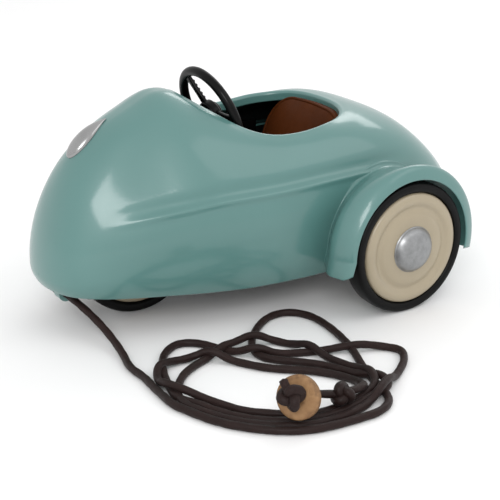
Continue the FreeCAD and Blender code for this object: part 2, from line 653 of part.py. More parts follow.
along("column_bush", [(AR + GAP, -19.8), (3.0, -19.8), (3.0, -15.3), (4.2, -15.3), (4.2, -14.2), (AR + GAP, -14.2)])
along("steering_column", [(0, -24.5), (S("ColumnR"), -24.5), (S("ColumnR"), 1.6), (0, 1.6)])
along("column_clip", [(S("ColumnR") + 0.01, -21.6), (3.2, -21.6), (3.2, -20.4), (S("ColumnR") + 0.01, -20.4)])
rim = Part.makeTorus(D["SteerR"], D["SteerTubeR"], V(0, 0, 0), V(0, 0, 1))
hub = Part.makeCylinder(4.6, 3.6, V(0, 0, -1.8)).fuse(Part.makeSphere(5.6, V(0, 0, -2.6)).common(Part.makeCylinder(4.6, 4, V(0, 0, 1.0))))
sw = rim.fuse(hub)
for k in range(3):
    w = Part.makePolygon([V(3.0, -1.9, -0.7), V(15.2, -1.3, -0.7), V(15.2, 1.3, -0.7), V(3.0, 1.9, -0.7), V(3.0, -1.9, -0.7)])
    spk = Part.Face(w).extrude(V(0, 0, 1.4))
    for q in (6.2, 8.6, 11.0):
        spk = spk.fuse(Part.makeSphere(0.55, V(q, 0, 0.7)))
    spk.rotate(V(0, 0, 0), V(0, 0, 1), 150 + 120 * k)
    sw = sw.fuse(spk)
sw = sw.cut(Part.makeCylinder(D["ColumnR"] + 0.01, 6, V(0, 0, -4.4)))
sw = sw.removeSplitter()
so = doc.addObject("Part::Feature", "steering_wheel")
so.Shape = sw
keep(so, "steering_wheel", (C.x, C.y, C.z), srot)
print("steering wheel", sw.isValid(), len(sw.Solids))

# ------------------------------------------------------------ pull-back drive
MOD = D["GearModule"]
z1, z2, z3, z4 = D["PinionTeeth"], D["WheelTeeth"], D["LayTeeth"], D["BarrelTeeth"]
cd1, cd2 = MOD * (z1 + z2) / 2, MOD * (z3 + z4) / 2
a1 = math.radians(154.4)
A = (0.0, D["WheelR"])
B = (A[0] + cd1 * math.cos(a1), A[1] + cd1 * math.sin(a1))
a2 = math.radians(110.35)
CB = (B[0] + cd2 * math.cos(a2), B[1] + cd2 * math.sin(a2))
print("drive centres", B, CB)


def gear_pts(z, add, ded, phase, lash=0.10):
    r = MOD * z / 2
    rb = r * math.cos(math.radians(20))
    ra, rf = r + add * MOD, r - ded * MOD
    inv = lambda t: math.tan(t) - t
    half = math.pi / (2 * z) - lash / (2 * r) + inv(math.radians(20))
    pts = []
    for k in range(int(z)):
        c = phase + 2 * math.pi * k / z
        fl = []
        for i in range(6):
            rr = max(rb, rf + 0.02) + (ra - max(rb, rf + 0.02)) * i / 5
            t = math.acos(min(1.0, rb / rr))
            fl.append((rr, half - inv(t)))
        p = [(rf, fl[0][1])] + fl
        for rr, h in p:
            pts.append((rr * math.cos(c - h), rr * math.sin(c - h)))
        for rr, h in reversed(p):
            pts.append((rr * math.cos(c + h), rr * math.sin(c + h)))
    return pts


def gear(z, add, ded, phase, cx, cz, y0, y1):
    pts = [(cx + x, cz + y) for x, y in gear_pts(z, add, ded, phase)]
    return prism_xz(pts, y0, y1)


axle_pinion = gear(z1, 0.9, 1.15, a1, A[0], A[1], -7.0, -3.9).cut(cyl_y(A[0], A[1], D["AxleR"] + 0.005, -20, 20))
feat("axle_pinion", axle_pinion)
lay = gear(z2, 0.8, 1.15, a1 + math.pi + math.pi / z2, B[0], B[1], -6.6, -4.4)
lay = lay.fuse(cyl_y(B[0], B[1], 2.4, -7.4, -4.4)).fuse(gear(z3, 0.9, 1.15, a2, B[0], B[1], -4.4, 2.6)).cut(cyl_y(B[0], B[1], 1.05, -20, 20))
feat("lay_gear", lay)
bar = gear(z4, 0.8, 1.15, a2 + math.pi + math.pi / z4, CB[0], CB[1], 0.2, 2.2)
bar = bar.fuse(cyl_y(CB[0], CB[1], 9.3, 2.2, 7.2).cut(cyl_y(CB[0], CB[1], 8.5, 2.9, 8.0))).cut(cyl_y(CB[0], CB[1], 1.55, -20, 20))
feat("spring_barrel", bar)
feat("lay_shaft", cyl_y(B[0], B[1], 1.0, -8.6, 8.6))
feat("spring_arbor", cyl_y(CB[0], CB[1], 1.5, -8.6, 8.6))
# mainspring: a flat strip wound on the arbor
op, ip = [], []
turns, r0, r1, th = 6.0, 1.9, 8.0, 0.34
for i in range(145):
    t = i / 144.0
    a = 2 * math.pi * turns * t
    r = r0 + (r1 - r0) * t
    op.append((CB[0] + (r + th / 2) * math.cos(a), CB[1] + (r + th / 2) * math.sin(a)))
    ip.append((CB[0] + (r - th / 2) * math.cos(a), CB[1] + (r - th / 2) * math.sin(a)))
feat("mainspring", prism_xz(op + list(reversed(ip)), 3.2, 6.9))


def hull_pts(circs):
    P = []
    for cx, cz, r in circs:
        for i in range(72):
            t = 2 * math.pi * i / 72
            P.append((cx + r * math.cos(t), cz + r * math.sin(t)))
    P = sorted(set((round(a, 6), round(b, 6)) for a, b in P))
    def half(it):
        h = []
        for p in it:
            while len(h) >= 2 and (h[-1][0] - h[-2][0]) * (p[1] - h[-2][1]) - (h[-1][1] - h[-2][1]) * (p[0] - h[-2][0]) <= 0:
                h.pop()
            h.append(p)
        return h
    lo, hi = half(P), half(list(reversed(P)))
    return lo[:-1] + hi[:-1]


circ = [(A[0], A[1], 6.75), (B[0], B[1], 11.0), (CB[0], CB[1], 12.2)]
ct = D["CaseT"]
HO = hull_pts(circ)
HI = hull_pts([(x, z, r - ct) for x, z, r in circ])
ch = D["CaseHalf"]
for side, sg in (("left", 1), ("right", -1)):
    o = prism_xz(HO, 0, sg * ch).cut(prism_xz(HI, 0, sg * (ch - ct)))
    if o.Volume < 0:
        o.reverse()
    o = o.cut(cyl_y(A[0], A[1], D["AxleR"] + 0.15, -20, 20)).cut(cyl_y(B[0], B[1], 1.0, -8.6, 8.6)).cut(cyl_y(CB[0], CB[1], 1.5, -8.6, 8.6))
    ya, yb = (ch, ch + 5.2) if sg > 0 else (-ch - 5.2, -ch)
    ft = box(-13, -6, ya, yb, PZ + PT, PZ + PT + 1.5)
    yc = (ch, ch + 1.2) if sg > 0 else (-ch - 1.2, -ch)
    ft = ft.fuse(box(-13, -6, yc[0], yc[1], PZ + PT, 24.0)).cut(Part.makeCylinder(1.0, 6, V(MSC[0][0], sg * MSC[0][1], PZ)))
    o = o.fuse(ft).removeSplitter()
    print("case", side, o.isValid(), len(o.Solids), round(o.Volume), o.BoundBox)
    feat("drive_case_" + side, o)
screws("drive_screws", MSC, 0.95, 2.0, PZ, PZ + PT + 2.6)

# ------------------------------------------------------------ pull cord
CR = D["CordR"]
# route of the free lead: out of the lug to the left, down to the floor
LEAD = [V(101.3, -3.6, 11.9), V(101.3, 4.2, 11.8), V(99.4, 11.2, 9.4), V(97.4, 18.0, 6.0), V(96.7, 25.0, 3.1), V(97.6, 33.0, 1.5), V(100.2, 41.5, 1.27), V(101.9, 49.5, 1.27)]


def tube_along(P, r):
    """Straight runs joined by tangent arcs, swept by a circle."""
    edges, cur = [], P[0]
    total, radii = 0.0, []
    for i in range(1, len(P) - 1):
        a, b, c = P[i - 1], P[i], P[i + 1]
        u, w = b.sub(a), c.sub(b)
        lu, lw = u.Length, w.Length
        u.normalize(); w.normalize()
        turn = u.getAngle(w)
        back = 0.45 * min(lu, lw)
        R = back / math.tan(turn / 2)
        radii.append((i, round(math.degrees(turn), 1), round(R, 1)))
        s = b.sub(u * back)
        e = b.add(w * back)
        bis = (w.sub(u)); bis.normalize()
        m = b.add(bis * (R / math.cos(turn / 2) - R))
        edges.append(Part.makeLine(cur, s))
        edges.append(Part.Arc(s, m, e).toShape())
        cur = e
    edges.append(Part.makeLine(cur, P[-1]))
    w = Part.Wire(edges)
    t0 = P[1].sub(P[0])
    prof = Part.Wire([Part.makeCircle(r, P[0], t0)])
    sh = w.makePipeShell([prof], True, False, 2)
    return sh, w.Length, radii


lead, L, radii = tube_along(LEAD, CR)
print("lead length", round(L, 1), "volume", round(lead.Volume, 1), "section x length", round(math.pi * CR * CR * L, 1), lead.isValid())
print("lead radii", radii)
feat("pull_cord_lead", lead)
out_pts = [(103.6, 50.5), (101.0, 62.0), (99.2, 71), (97, 82), (92.6, 91.6), (85, 103.4), (76, 104.6), (66, 107), (53, 107.8), (44.5, 100.6), (37, 94.4), (28, 87.6), (21.6, 79.8), (20.8, 74.2), (25.5, 70.0), (29.6, 62), (28.8, 52), (28.2, 41), (33, 34.2), (40.4, 31.0), (48.2, 33.2), (56, 39.4), (63.5, 41.8), (72, 41.0), (76, 34.0), (84.6, 34.4), (91, 41), (95.0, 46.8), (99.5, 49.6)]
in_pts = [(93.0, 59.4), (86.5, 53.8), (77.3, 53.4), (69.6, 62.5), (61.5, 69.8), (52.6, 76.8), (47.5, 85.0), (49.2, 91.0), (56, 98.4), (66, 99.2), (78, 95.4), (86.5, 84.6), (91.4, 70.5)]


def loop_face(pts, z):
    b = Part.BSplineCurve()
    b.interpolate(Points=[V(x, y, z) for x, y in pts], PeriodicFlag=True)
    return Part.Face(Part.Wire([b.toShape()]))


coil = loop_face(out_pts, 0.02).extrude(V(0, 0, 5.4)).cut(loop_face(in_pts, -1).extrude(V(0, 0, 8)))
print("coil", coil.isValid(), len(coil.Solids), coil.BoundBox)
feat("pull_cord_coil", coil)

# wooden toggle disc leaning on the coil, with its knots
TC = V(77.7, 98.1, 9.1)
TN = V(0.79, 0.51, 0.33); TN.normalize()
tg = Part.makeCylinder(D["ToggleR"], D["ToggleT"], TC.sub(TN * (D["ToggleT"] / 2)), TN).cut(Part.makeCylinder(CR + 0.05, 8, TC.sub(TN * 4), TN))
tg = tg.makeFillet(0.5, [e for e in tg.Edges if e.Length > 35])
dz = tg.BoundBox.ZMin
print("toggle zmin", dz)
feat("toggle_disc", tg)
kn = Part.makeSphere(3.1, TC.add(TN * (D["ToggleT"] / 2 + 2.6)))
feat("toggle_knot", kn.cut(tg))
k2 = Part.makeSphere(3.3, V(61.9, 97.6, 5.6))
feat("stop_knot", k2)
kl = Part.makeSphere(2.3, V(101.3, -4.4, 11.9)).cut(lead)
feat("lug_knot", kl)

# ------------------------------------------------------------ checks, export
doc.recompute()
bad = []
for o in doc.Objects:
    st = [str(x) for x in o.State]
    if "Invalid" in st or "Error" in st:
        bad.append((o.Name, st))
labels = [o.Label for o in PARTS]
assert len(set(labels)) == len(labels), "labels repeat"
for o in PARTS:
    if o.Shape.isNull() or not o.Shape.isValid() or not o.Shape.Solids:
        bad.append((o.Label, "shape"))
    if o.Shape.Volume <= 0:
        bad.append((o.Label, "volume %g" % o.Shape.Volume))
if bad:
    raise SystemExit("bad objects: %s" % bad)
os.makedirs("parts", exist_ok=True)
for f in os.listdir("parts"):
    if f.endswith(".step") and f[:-5] not in labels:
        os.remove(os.path.join("parts", f))
bb = FreeCAD.BoundBox()
for o in PARTS:
    o.Shape.exportStep("parts/%s.step" % o.Label)
    bb.add(o.Shape.BoundBox)
print(len(PARTS), "parts", bb)
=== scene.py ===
import json
import math

import bmesh
import bpy
import numpy as np
from mathutils import Matrix, Vector


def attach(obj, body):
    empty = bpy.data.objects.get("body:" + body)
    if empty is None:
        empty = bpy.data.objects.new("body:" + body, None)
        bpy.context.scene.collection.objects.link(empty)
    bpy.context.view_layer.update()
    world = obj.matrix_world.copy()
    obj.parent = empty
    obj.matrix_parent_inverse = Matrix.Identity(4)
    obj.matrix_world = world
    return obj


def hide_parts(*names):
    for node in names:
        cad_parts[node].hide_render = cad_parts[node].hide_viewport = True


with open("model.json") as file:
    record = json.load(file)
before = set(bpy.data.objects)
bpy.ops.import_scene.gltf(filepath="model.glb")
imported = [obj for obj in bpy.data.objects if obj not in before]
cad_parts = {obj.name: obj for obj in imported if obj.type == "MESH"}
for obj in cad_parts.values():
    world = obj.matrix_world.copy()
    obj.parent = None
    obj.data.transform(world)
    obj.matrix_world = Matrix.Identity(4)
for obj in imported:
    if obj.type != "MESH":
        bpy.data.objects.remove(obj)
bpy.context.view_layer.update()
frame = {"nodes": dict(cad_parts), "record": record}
nodes = frame["nodes"]
scene = bpy.context.scene
OX = 31.15  # mm from the rear axle to the row's origin


def M(p):
    """Layout millimetres (x from the rear axle) to the row frame in metres."""
    p = np.asarray(p, float)
    return (p - np.array([OX, 0, 0])) / 1000.0


# ------------------------------------------------------------------ camera
cd = bpy.data.cameras.new("camera")
cd.sensor_width = 36.0
cd.lens = 93.6
cd.clip_start, cd.clip_end = 0.01, 20
cam = bpy.data.objects.new("camera", cd)
scene.collection.objects.link(cam)
R = Matrix(((-0.83180, -0.19929, 0.51806), (0.55507, -0.29864, 0.77634), (0.0, 0.93333, 0.35903)))
cam.matrix_world = Matrix.Translation(Vector((0.2362, 0.3580, 0.1765))) @ R.to_4x4()
scene.camera = cam

# ------------------------------------------------------------------ cord
# one length of waxed braid: out of the lug, down to the floor, through its
# loose turns and into the toggle's knots; millimetres, x from the rear axle
ROUTE = [
    (101.3, -3.6, 11.9), (101.3, 4.2, 11.8), (99.4, 11.2, 9.4), (97.4, 18, 6), (96.7, 25, 3.1), (97.6, 33, 1.5), (100.2, 41.5, 1.27), 
    (99.6, 49.6, 1.27), (100.5, 56, 1.27), (101, 62.7, 1.27), (101.5, 69.4, 1.27), (99.6, 75.8, 1.27), (97.6, 82.2, 1.27), (94.6, 88.1, 1.27), 
    (90.6, 93.4, 1.27), (86, 98.1, 1.27), (80.6, 102, 1.27), (74.4, 104.3, 1.27), (67.9, 105.3, 1.27), (61.3, 105.7, 1.27), (54.7, 105.9, 1.27), 
    (48.6, 103, 1.27), (45.5, 97.1, 1.27), (44.1, 90.6, 1.27), (42.3, 84.4, 1.27), (39.9, 78.2, 1.27), (37.2, 72.2, 1.27), (34.9, 66, 1.27), 
    (33.2, 59.7, 1.27), (31.9, 53.2, 1.27), (31.2, 46.6, 1.27), (31.6, 40, 1.27), (35.2, 34.2, 1.27), (41.8, 33.1, 1.27), (47.9, 36, 1.27), 
    (53, 40.1, 1.27), (57.7, 44.8, 1.27), (61.3, 50.3, 1.27), (63.3, 56.9, 1.27), (59.7, 62.7, 1.27), (54.8, 67.1, 1.27), (50.5, 72.2, 1.27), 
    (47.6, 78.2, 1.27), (45.5, 84.5, 1.54), (41.5, 89.5, 3.15), (42.7, 96.3, 2.4), (49.2, 97.2, 1.7), (55.7, 98.2, 1.27), (62.2, 99.4, 1.27), 
    (69, 99.6, 1.27), (75.4, 97.8, 1.27), (81.4, 94.9, 1.27), (86.5, 90.7, 1.27), (90.4, 85.3, 1.27), (93.4, 79.4, 1.27), (95.2, 72.9, 1.27), 
    (98.7, 66.7, 1.27), (97, 60.6, 1.27), (95, 54.3, 1.27), (92.4, 48.2, 1.27), (89.3, 42.5, 1.27), (85, 37.5, 1.27), (78.6, 34.6, 1.27), 
    (73.1, 38.6, 1.27), (70.7, 44.9, 1.27), (67.4, 50.8, 1.27), (63, 55.4, 4.2), (57.6, 58.6, 1.27), (51.6, 61.6, 1.27), (44.7, 64.5, 1.27), 
    (38.7, 67.2, 2.23), (33.1, 69.6, 2.67), (26.9, 72, 1.27), (22.9, 77.6, 1.27), (26.9, 83.6, 1.27), (32.1, 87.8, 1.27), (37.6, 91.7, 1.5), 
    (42.8, 94.9, 4.2), (48.6, 98.3, 4.2), (54.4, 100.5, 1.44), (61, 101.8, 1.27), (67.7, 102.3, 1.27), (74.3, 101.5, 1.27), (80.4, 98.8, 1.27), 
    (85.7, 94.8, 1.27), (90.2, 90, 1.27), (93.8, 84.4, 1.27), (96.4, 78.4, 1.27), (98.5, 72.1, 1.27), (97.7, 66.1, 1.27), (94, 60, 1.27), 
    (89.5, 55, 1.27), (83.7, 51.6, 1.27), (77.3, 49.3, 1.27), (71.2, 47.6, 3.2), (64.9, 46, 2.27), (58.1, 46.5, 3.94), (52.8, 50, 1.27), 
    (49.3, 55.9, 1.27), (47.7, 62.2, 3.79), (46.4, 68.4, 1.48), (44.8, 75, 1.27), (43.5, 81.7, 1.97), (43.4, 87.6, 4.2), (45.9, 93.3, 2.57), 
    (52.1, 95.3, 1.27), (58.7, 96.3, 1.27), (65.2, 97.3, 1.27), (71.7, 96.6, 1.27), (77.2, 92.9, 1.27), (82.2, 88.7, 1.27), (86.9, 84, 1.27), 
    (89.5, 77.9, 1.27), (91.9, 71.6, 1.27), (95.7, 66.5, 3.24), (98.6, 60.5, 3.63), (97.8, 54, 1.27), (94.3, 48.4, 3.51), (88.3, 46, 1.83), 
    (81.5, 46.1, 1.27), (76, 49.3, 4.2), (72, 54.2, 1.27), (68.8, 60.1, 1.27), (65.1, 65.6, 1.27), (60.1, 70, 1.27), (55.1, 74.4, 1.27), 
    (51.2, 79.6, 1.27), (48.7, 85.4, 1.27), (49.2, 91.2, 2.3), (52.2, 95.3, 4.3), (56.6, 97.3, 5.3), (59.6, 97.7, 5.6), (62.9, 97.4, 5.6), 
    (65.6, 96.4, 5.9), (70, 95.6, 6.9), (75, 96.3, 8), (77.7, 98.1, 9.1), (81, 99.6, 11), (82, 98, 13.4), (82.2, 96.9, 15.2)
]


def nurbs(name, pts):
    cu = bpy.data.curves.new(name, "CURVE")
    cu.dimensions = "3D"
    cu.resolution_u = 24
    sp = cu.splines.new("NURBS")
    sp.points.add(len(pts) - 1)
    for i, q in enumerate(pts):
        v = M(q)
        sp.points[i].co = (v[0], v[1], v[2], 1.0)
    sp.order_u = 3
    sp.use_endpoint_u = True
    ob = bpy.data.objects.new(name, cu)
    scene.collection.objects.link(ob)
    return ob


def link_mesh(name, verts, faces, normals=None, smooth=True):
    me = bpy.data.meshes.new(name)
    me.from_pydata([tuple(v) for v in verts], [], faces)
    me.update()
    if smooth:
        me.polygons.foreach_set("use_smooth", [True] * len(me.polygons))
    if normals is not None:
        me.normals_split_custom_set_from_vertices([tuple(n) for n in normals])
    ob = bpy.data.objects.new(name, me)
    scene.collection.objects.link(ob)
    return ob


def polyline(ob):
    bpy.context.view_layer.update()
    me = bpy.data.meshes.new_from_object(ob.evaluated_get(bpy.context.evaluated_depsgraph_get()))
    p = np.array([v.co for v in me.vertices], float).reshape(-1, 3)
    bpy.data.meshes.remove(me)
    return p


def resample(p, step):
    d = np.concatenate([[0], np.cumsum(np.linalg.norm(np.diff(p, axis=0), axis=1))])
    n = max(4, int(d[-1] / step) + 1)
    s = np.linspace(0, d[-1], n)
    return np.stack([np.interp(s, d, p[:, k]) for k in range(3)], 1), s


def frames(p):
    """Tangent and two turning-free normals along a path."""
    t = np.gradient(p, axis=0)
    t /= np.linalg.norm(t, axis=1)[:, None]
    n = np.zeros_like(p)
    a = np.array([0, 0, 1.0]) if abs(t[0][2]) < 0.9 else np.array([1.0, 0, 0])
    n[0] = np.cross(t[0], np.cross(a, t[0]))
    n[0] /= np.linalg.norm(n[0])
    for i in range(1, len(p)):
        v = n[i - 1] - t[i] * (n[i - 1] @ t[i])
        n[i] = v / np.linalg.norm(v)
    return t, n, np.cross(t, n)


def tube(name, p, r, sides=16, relief=None, s=None, caps=True):
    """Round tube along path p (metres); relief(s, angle) adds to the radius."""
    t, n, b = frames(p)
    k = len(p)
    an = np.linspace(0, 2 * math.pi, sides, endpoint=False)
    rad = np.full((k, sides), 1.0) * (r if np.isscalar(r) else np.asarray(r)[:, None])
    if relief is not None:
        rad = rad + relief(s[:, None], an[None, :])
    v = p[:, None, :] + rad[:, :, None] * (n[:, None, :] * np.cos(an)[None, :, None] + b[:, None, :] * np.sin(an)[None, :, None])
    v = v.reshape(-1, 3)
    i = np.arange(k - 1)[:, None] * sides
    j = np.arange(sides)[None, :]
    j2 = (j + 1) % sides
    f = np.stack([i + j, i + j2, i + sides + j2, i + sides + j], -1).reshape(-1, 4).tolist()
    v = v.tolist()
    if caps:
        for e, c in ((0, p[0]), (k - 1, p[-1])):
            sg = -1 if e == 0 else 1
            ci = len(v)
            v.append((c + t[e] * sg * (r if np.isscalar(r) else float(np.asarray(r)[e])) * 0.35).tolist())
            for q in range(sides):
                q2 = (q + 1) % sides
                f.append([e * sides + q2, e * sides + q, ci] if e == 0 else [e * sides + q, e * sides + q2, ci])
    return link_mesh(name, v, f)


def braid(s, a):
    """Relief of a fine tubular braid: eight strands each way."""
    k = 2 * math.pi / 0.0062
    u, w = np.cos(4 * a + k * s * 4 / 4), np.cos(4 * a - k * s * 4 / 4)
    return 0.000055 * (np.maximum(u, w) - 0.45)


route = nurbs("cord_route", ROUTE)
line = polyline(route)
bpy.data.objects.remove(route)
line, ls = resample(line, 0.00042)
CORD_D = 0.0025
cord = tube("pull_cord", line, CORD_D / 2 - 0.00003, 20, braid, ls)


# ------------------------------------------------------------------ finishes
def lin(*c):
    out = []
    for v in c:
        v /= 255.0
        out.append(v / 12.92 if v <= 0.04045 else ((v + 0.055) / 1.055) ** 2.4)
    return out + [1.0]


class Mat:
    def __init__(self, name):
        self.m = bpy.data.materials.new(name)
        self.m.use_nodes = True
        self.t = self.m.node_tree
        self.b = self.t.nodes["Principled BSDF"]
        self.co = self.t.nodes.new("ShaderNodeTexCoord")

    def n(self, kind, **kw):
        nd = self.t.nodes.new(kind)
        for k, v in kw.items():
            setattr(nd, k, v)
        return nd

    def link(self, a, b):
        self.t.links.new(a, b)

    def set(self, **kw):
        for k, v in kw.items():
            self.b.inputs[k.replace("_", " ")].default_value = v
        return self

    def noise(self, scale, detail=3.0, rough=0.5, coord="Object", dist=0.0):
        nd = self.n("ShaderNodeTexNoise")
        nd.inputs["Scale"].default_value = scale
        nd.inputs["Detail"].default_value = detail
        nd.inputs["Roughness"].default_value = rough
        nd.inputs["Distortion"].default_value = dist
        self.link(self.co.outputs[coord], nd.inputs["Vector"])
        return nd.outputs["Fac"]

    def ramp(self, fac, stops):
        nd = self.n("ShaderNodeValToRGB")
        e = nd.color_ramp.elements
        while len(e) < len(stops):
            e.new(0.5)
        for q, (p, c) in zip(e, stops):
            q.position = p
            q.color = c
        self.link(fac, nd.inputs["Fac"])
        return nd.outputs["Color"]

    def bump(self, fac, strength, dist, into=("Normal",), after=None):
        nd = self.n("ShaderNodeBump")
        nd.inputs["Strength"].default_value = strength
        nd.inputs["Distance"].default_value = dist
        self.link(fac, nd.inputs["Height"])
        if after is not None:
            self.link(after, nd.inputs["Normal"])
        for i in into:
            self.link(nd.outputs["Normal"], self.b.inputs[i])
        return nd.outputs["Normal"]

    def col(self, out):
        self.link(out, self.b.inputs["Base Color"])

    def rough(self, fac, lo, hi, p0=0.35, p1=0.65):
        nd = self.n("ShaderNodeMapRange")
        nd.inputs["From Min"].default_value = p0
        nd.inputs["From Max"].default_value = p1
        nd.inputs["To Min"].default_value = lo
        nd.inputs["To Max"].default_value = hi
        self.link(fac, nd.inputs["Value"])
        self.link(nd.outputs["Result"], self.b.inputs["Roughness"])


def enamel():
    m = Mat("enamel")
    m.set(Roughness=0.42, Coat_Weight=0.7, Coat_Roughness=0.13, Coat_IOR=1.5)
    m.set(**{"Specular_IOR_Level": 0.45})
    big = m.noise(26.0, 2.0)
    paint = m.ramp(big, [(0.3, lin(76, 118, 114)), (0.7, lin(81, 123, 119))])
    # painted shade: where the 'inside' attribute is set, the inner face of the shell is mixed toward near-black
    # (14, 17, 17) to stand in for the unlit interior
    at = m.n("ShaderNodeAttribute", attribute_name="inside")
    mx = m.n("ShaderNodeMix", data_type="RGBA")
    m.link(at.outputs["Fac"], mx.inputs["Factor"])
    m.link(paint, mx.inputs["A"])
    mx.inputs["B"].default_value = lin(14, 17, 17)
    m.col(mx.outputs["Result"])
    peel = m.noise(900.0, 2.0, 0.4)
    wave = m.noise(130.0, 1.0, 0.4)
    a = m.bump(wave, 0.10, 0.0004)
    m.bump(peel, 0.055, 0.0002, ("Normal", "Coat Normal"), a)
    return m.m


def enamel_cream():
    m = Mat("enamel_cream")
    m.set(Roughness=0.42, Coat_Weight=0.35, Coat_Roughness=0.16)
    m.col(m.ramp(m.noise(60.0, 3.0), [(0.3, lin(152, 140, 117)), (0.7, lin(158, 146, 123))]))
    m.bump(m.noise(700.0, 2.0), 0.06, 0.0002, ("Normal", "Coat Normal"))
    return m.m


def rubber():
    m = Mat("tyre_rubber")
    m.set(Roughness=0.5, **{"Specular_IOR_Level": 0.16})
    f = m.noise(420.0, 4.0, 0.6)
    m.col(m.ramp(f, [(0.3, lin(3, 3, 3)), (0.75, lin(6, 6, 6))]))
    m.rough(m.noise(90.0, 3.0), 0.40, 0.58)
    m.bump(f, 0.10, 0.0002)
    return m.m


def silver():
    m = Mat("satin_silver")
    m.set(Metallic=1.0)
    f = m.noise(500.0, 3.0, 0.6)
    m.col(m.ramp(f, [(0.3, lin(140, 141, 142)), (0.7, lin(158, 159, 160))]))
    m.rough(m.noise(160.0, 3.0), 0.36, 0.46)
    m.bump(f, 0.06, 0.0002)
    return m.m


def chrome():
    m = Mat("lamp_chrome")
    m.set(Metallic=1.0)
    m.col(m.ramp(m.noise(80.0, 2.0), [(0.3, lin(150, 150, 150)), (0.7, lin(165, 165, 165))]))
    m.rough(m.noise(220.0, 3.0), 0.2, 0.28)
    m.bump(m.noise(400.0, 2.0), 0.03, 0.0002)
    return m.m


def steel(name="zinc_steel", a=150, b=172, lo=0.28, hi=0.42):
    m = Mat(name)
    m.set(Metallic=1.0)
    f = m.noise(300.0, 4.0, 0.6)
    m.col(m.ramp(f, [(0.3, lin(a, a, a + 3)), (0.7, lin(b, b, b + 2))]))
    m.rough(m.noise(120.0, 3.0), lo, hi)
    m.bump(f, 0.08, 0.0002)
    return m.m


def black_paint(name, gloss):
    m = Mat(name)
    m.set(Roughness=0.35, Coat_Weight=gloss * 0.15, Coat_Roughness=0.12, **{"Specular_IOR_Level": 0.1})
    f = m.noise(300.0, 3.0)
    m.col(m.ramp(f, [(0.3, lin(3, 3, 3)), (0.7, lin(7, 7, 7))]))
    m.bump(f, 0.06, 0.0002, ("Normal", "Coat Normal"))
    return m.m


def plastic(name, c0, c1, r=0.5):
    m = Mat(name)
    m.set(Roughness=r)
    f = m.noise(260.0, 3.0)
    m.col(m.ramp(f, [(0.3, c0), (0.7, c1)]))
    m.bump(f, 0.06, 0.0002)
    return m.m


def leather():
    m = Mat("brown_leather")
    m.set(**{"Specular_IOR_Level": 0.05})
    vo = m.n("ShaderNodeTexVoronoi", feature="DISTANCE_TO_EDGE")
    vo.inputs["Scale"].default_value = 1500.0
    m.link(m.co.outputs["Object"], vo.inputs["Vector"])
    grain = m.ramp(vo.outputs["Distance"], [(0.0, (0, 0, 0, 1)), (0.22, (1, 1, 1, 1))])
    f = m.noise(70.0, 4.0, 0.6)
    m.col(m.ramp(f, [(0.3, lin(66, 32, 12)), (0.7, lin(80, 40, 16))]))
    m.rough(m.noise(200.0, 3.0), 0.42, 0.6)
    a = m.bump(m.noise(120.0, 3.0), 0.12, 0.0006)
    m.bump(grain, 0.22, 0.00012, ("Normal",), a)
    return m.m


def cord_mat():
    m = Mat("waxed_cord")
    m.set(**{"Specular_IOR_Level": 0.16, "Sheen_Weight": 0.03})
    f = m.noise(2600.0, 3.0, 0.6)
    g = m.noise(90.0, 3.0, 0.5)
    mix = m.n("ShaderNodeMix", data_type="FLOAT")
    mix.inputs["Factor"].default_value = 0.45
    m.link(f, mix.inputs["A"])
    m.link(g, mix.inputs["B"])
    m.col(m.ramp(mix.outputs["Result"], [(0.3, lin(24, 14, 12)), (0.55, lin(36, 23, 21)), (0.8, lin(56, 40, 37))]))
    m.rough(g, 0.42, 0.6)
    m.bump(f, 0.5, 0.00012)
    return m.m


def wood():
    m = Mat("toggle_wood")
    m.set(Roughness=0.6, **{"Specular_IOR_Level": 0.3})
    g = m.noise(180.0, 4.0, 0.6, dist=1.5)
    base = m.ramp(g, [(0.3, lin(132, 98, 66)), (0.6, lin(150, 116, 80)), (0.85, lin(108, 76, 48))])
    at = m.n("ShaderNodeAttribute", attribute_name="burn")
    sp = m.noise(900.0, 3.0, 0.7)
    mr = m.n("ShaderNodeMath", operation="MULTIPLY")
    m.link(at.outputs["Fac"], mr.inputs[0])
    sr = m.ramp(sp, [(0.35, (0.25, 0.25, 0.25, 1)), (0.6, (1, 1, 1, 1))])
    m.link(sr, mr.inputs[1])
    mx = m.n("ShaderNodeMix", data_type="RGBA")
    m.link(mr.outputs["Value"], mx.inputs["Factor"])
    m.link(base, mx.inputs["A"])
    mx.inputs["B"].default_value = lin(74, 48, 28)
    m.col(mx.outputs["Result"])
    m.bump(g, 0.2, 0.0002)
    return m.m


ENAMEL, CREAM, RUBBER, SILVER, CHROME = enamel(), enamel_cream(), rubber(), silver(), chrome()
STEEL, LEATHER, CORD, WOOD = steel(), leather(), cord_mat(), wood()
BLACK_GLOSS = black_paint("black_gloss", 0.7)
BLACK_IN = black_paint("black_inside", 0.15)
NYLON = plastic("nylon", lin(222, 219, 208), lin(232, 229, 219), 0.45)
CASE = plastic("case_plastic", lin(24, 24, 26), lin(34, 34, 36), 0.42)
BY_SLOT = {"enamel": ENAMEL, "enamel_cream": CREAM, "tyre": RUBBER, "silver": SILVER, "chrome": CHROME, "steel": STEEL, "black_metal": BLACK_GLOSS, "black_enamel": BLACK_IN, "nylon": NYLON, "case_plastic": CASE, "leather": LEATHER, "cord": CORD, "wood": WOOD}
node_slot = {q["node"]: q["material_slot"] for q in frame["record"]["subparts"]}
node_body = {q: b for b, ns in frame["record"]["behaviour"]["bodies"].items() for q in ns}
for nm, ob in nodes.items():
    ob.data.materials.clear()
    ob.data.materials.append(BY_SLOT[node_slot[nm]])


def finish_piece(ob, mat, body, slot, *cad):
    ob.data.materials.clear()
    ob.data.materials.append(mat)
    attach(ob, body)
    if cad:
        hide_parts(*cad)
    return ob


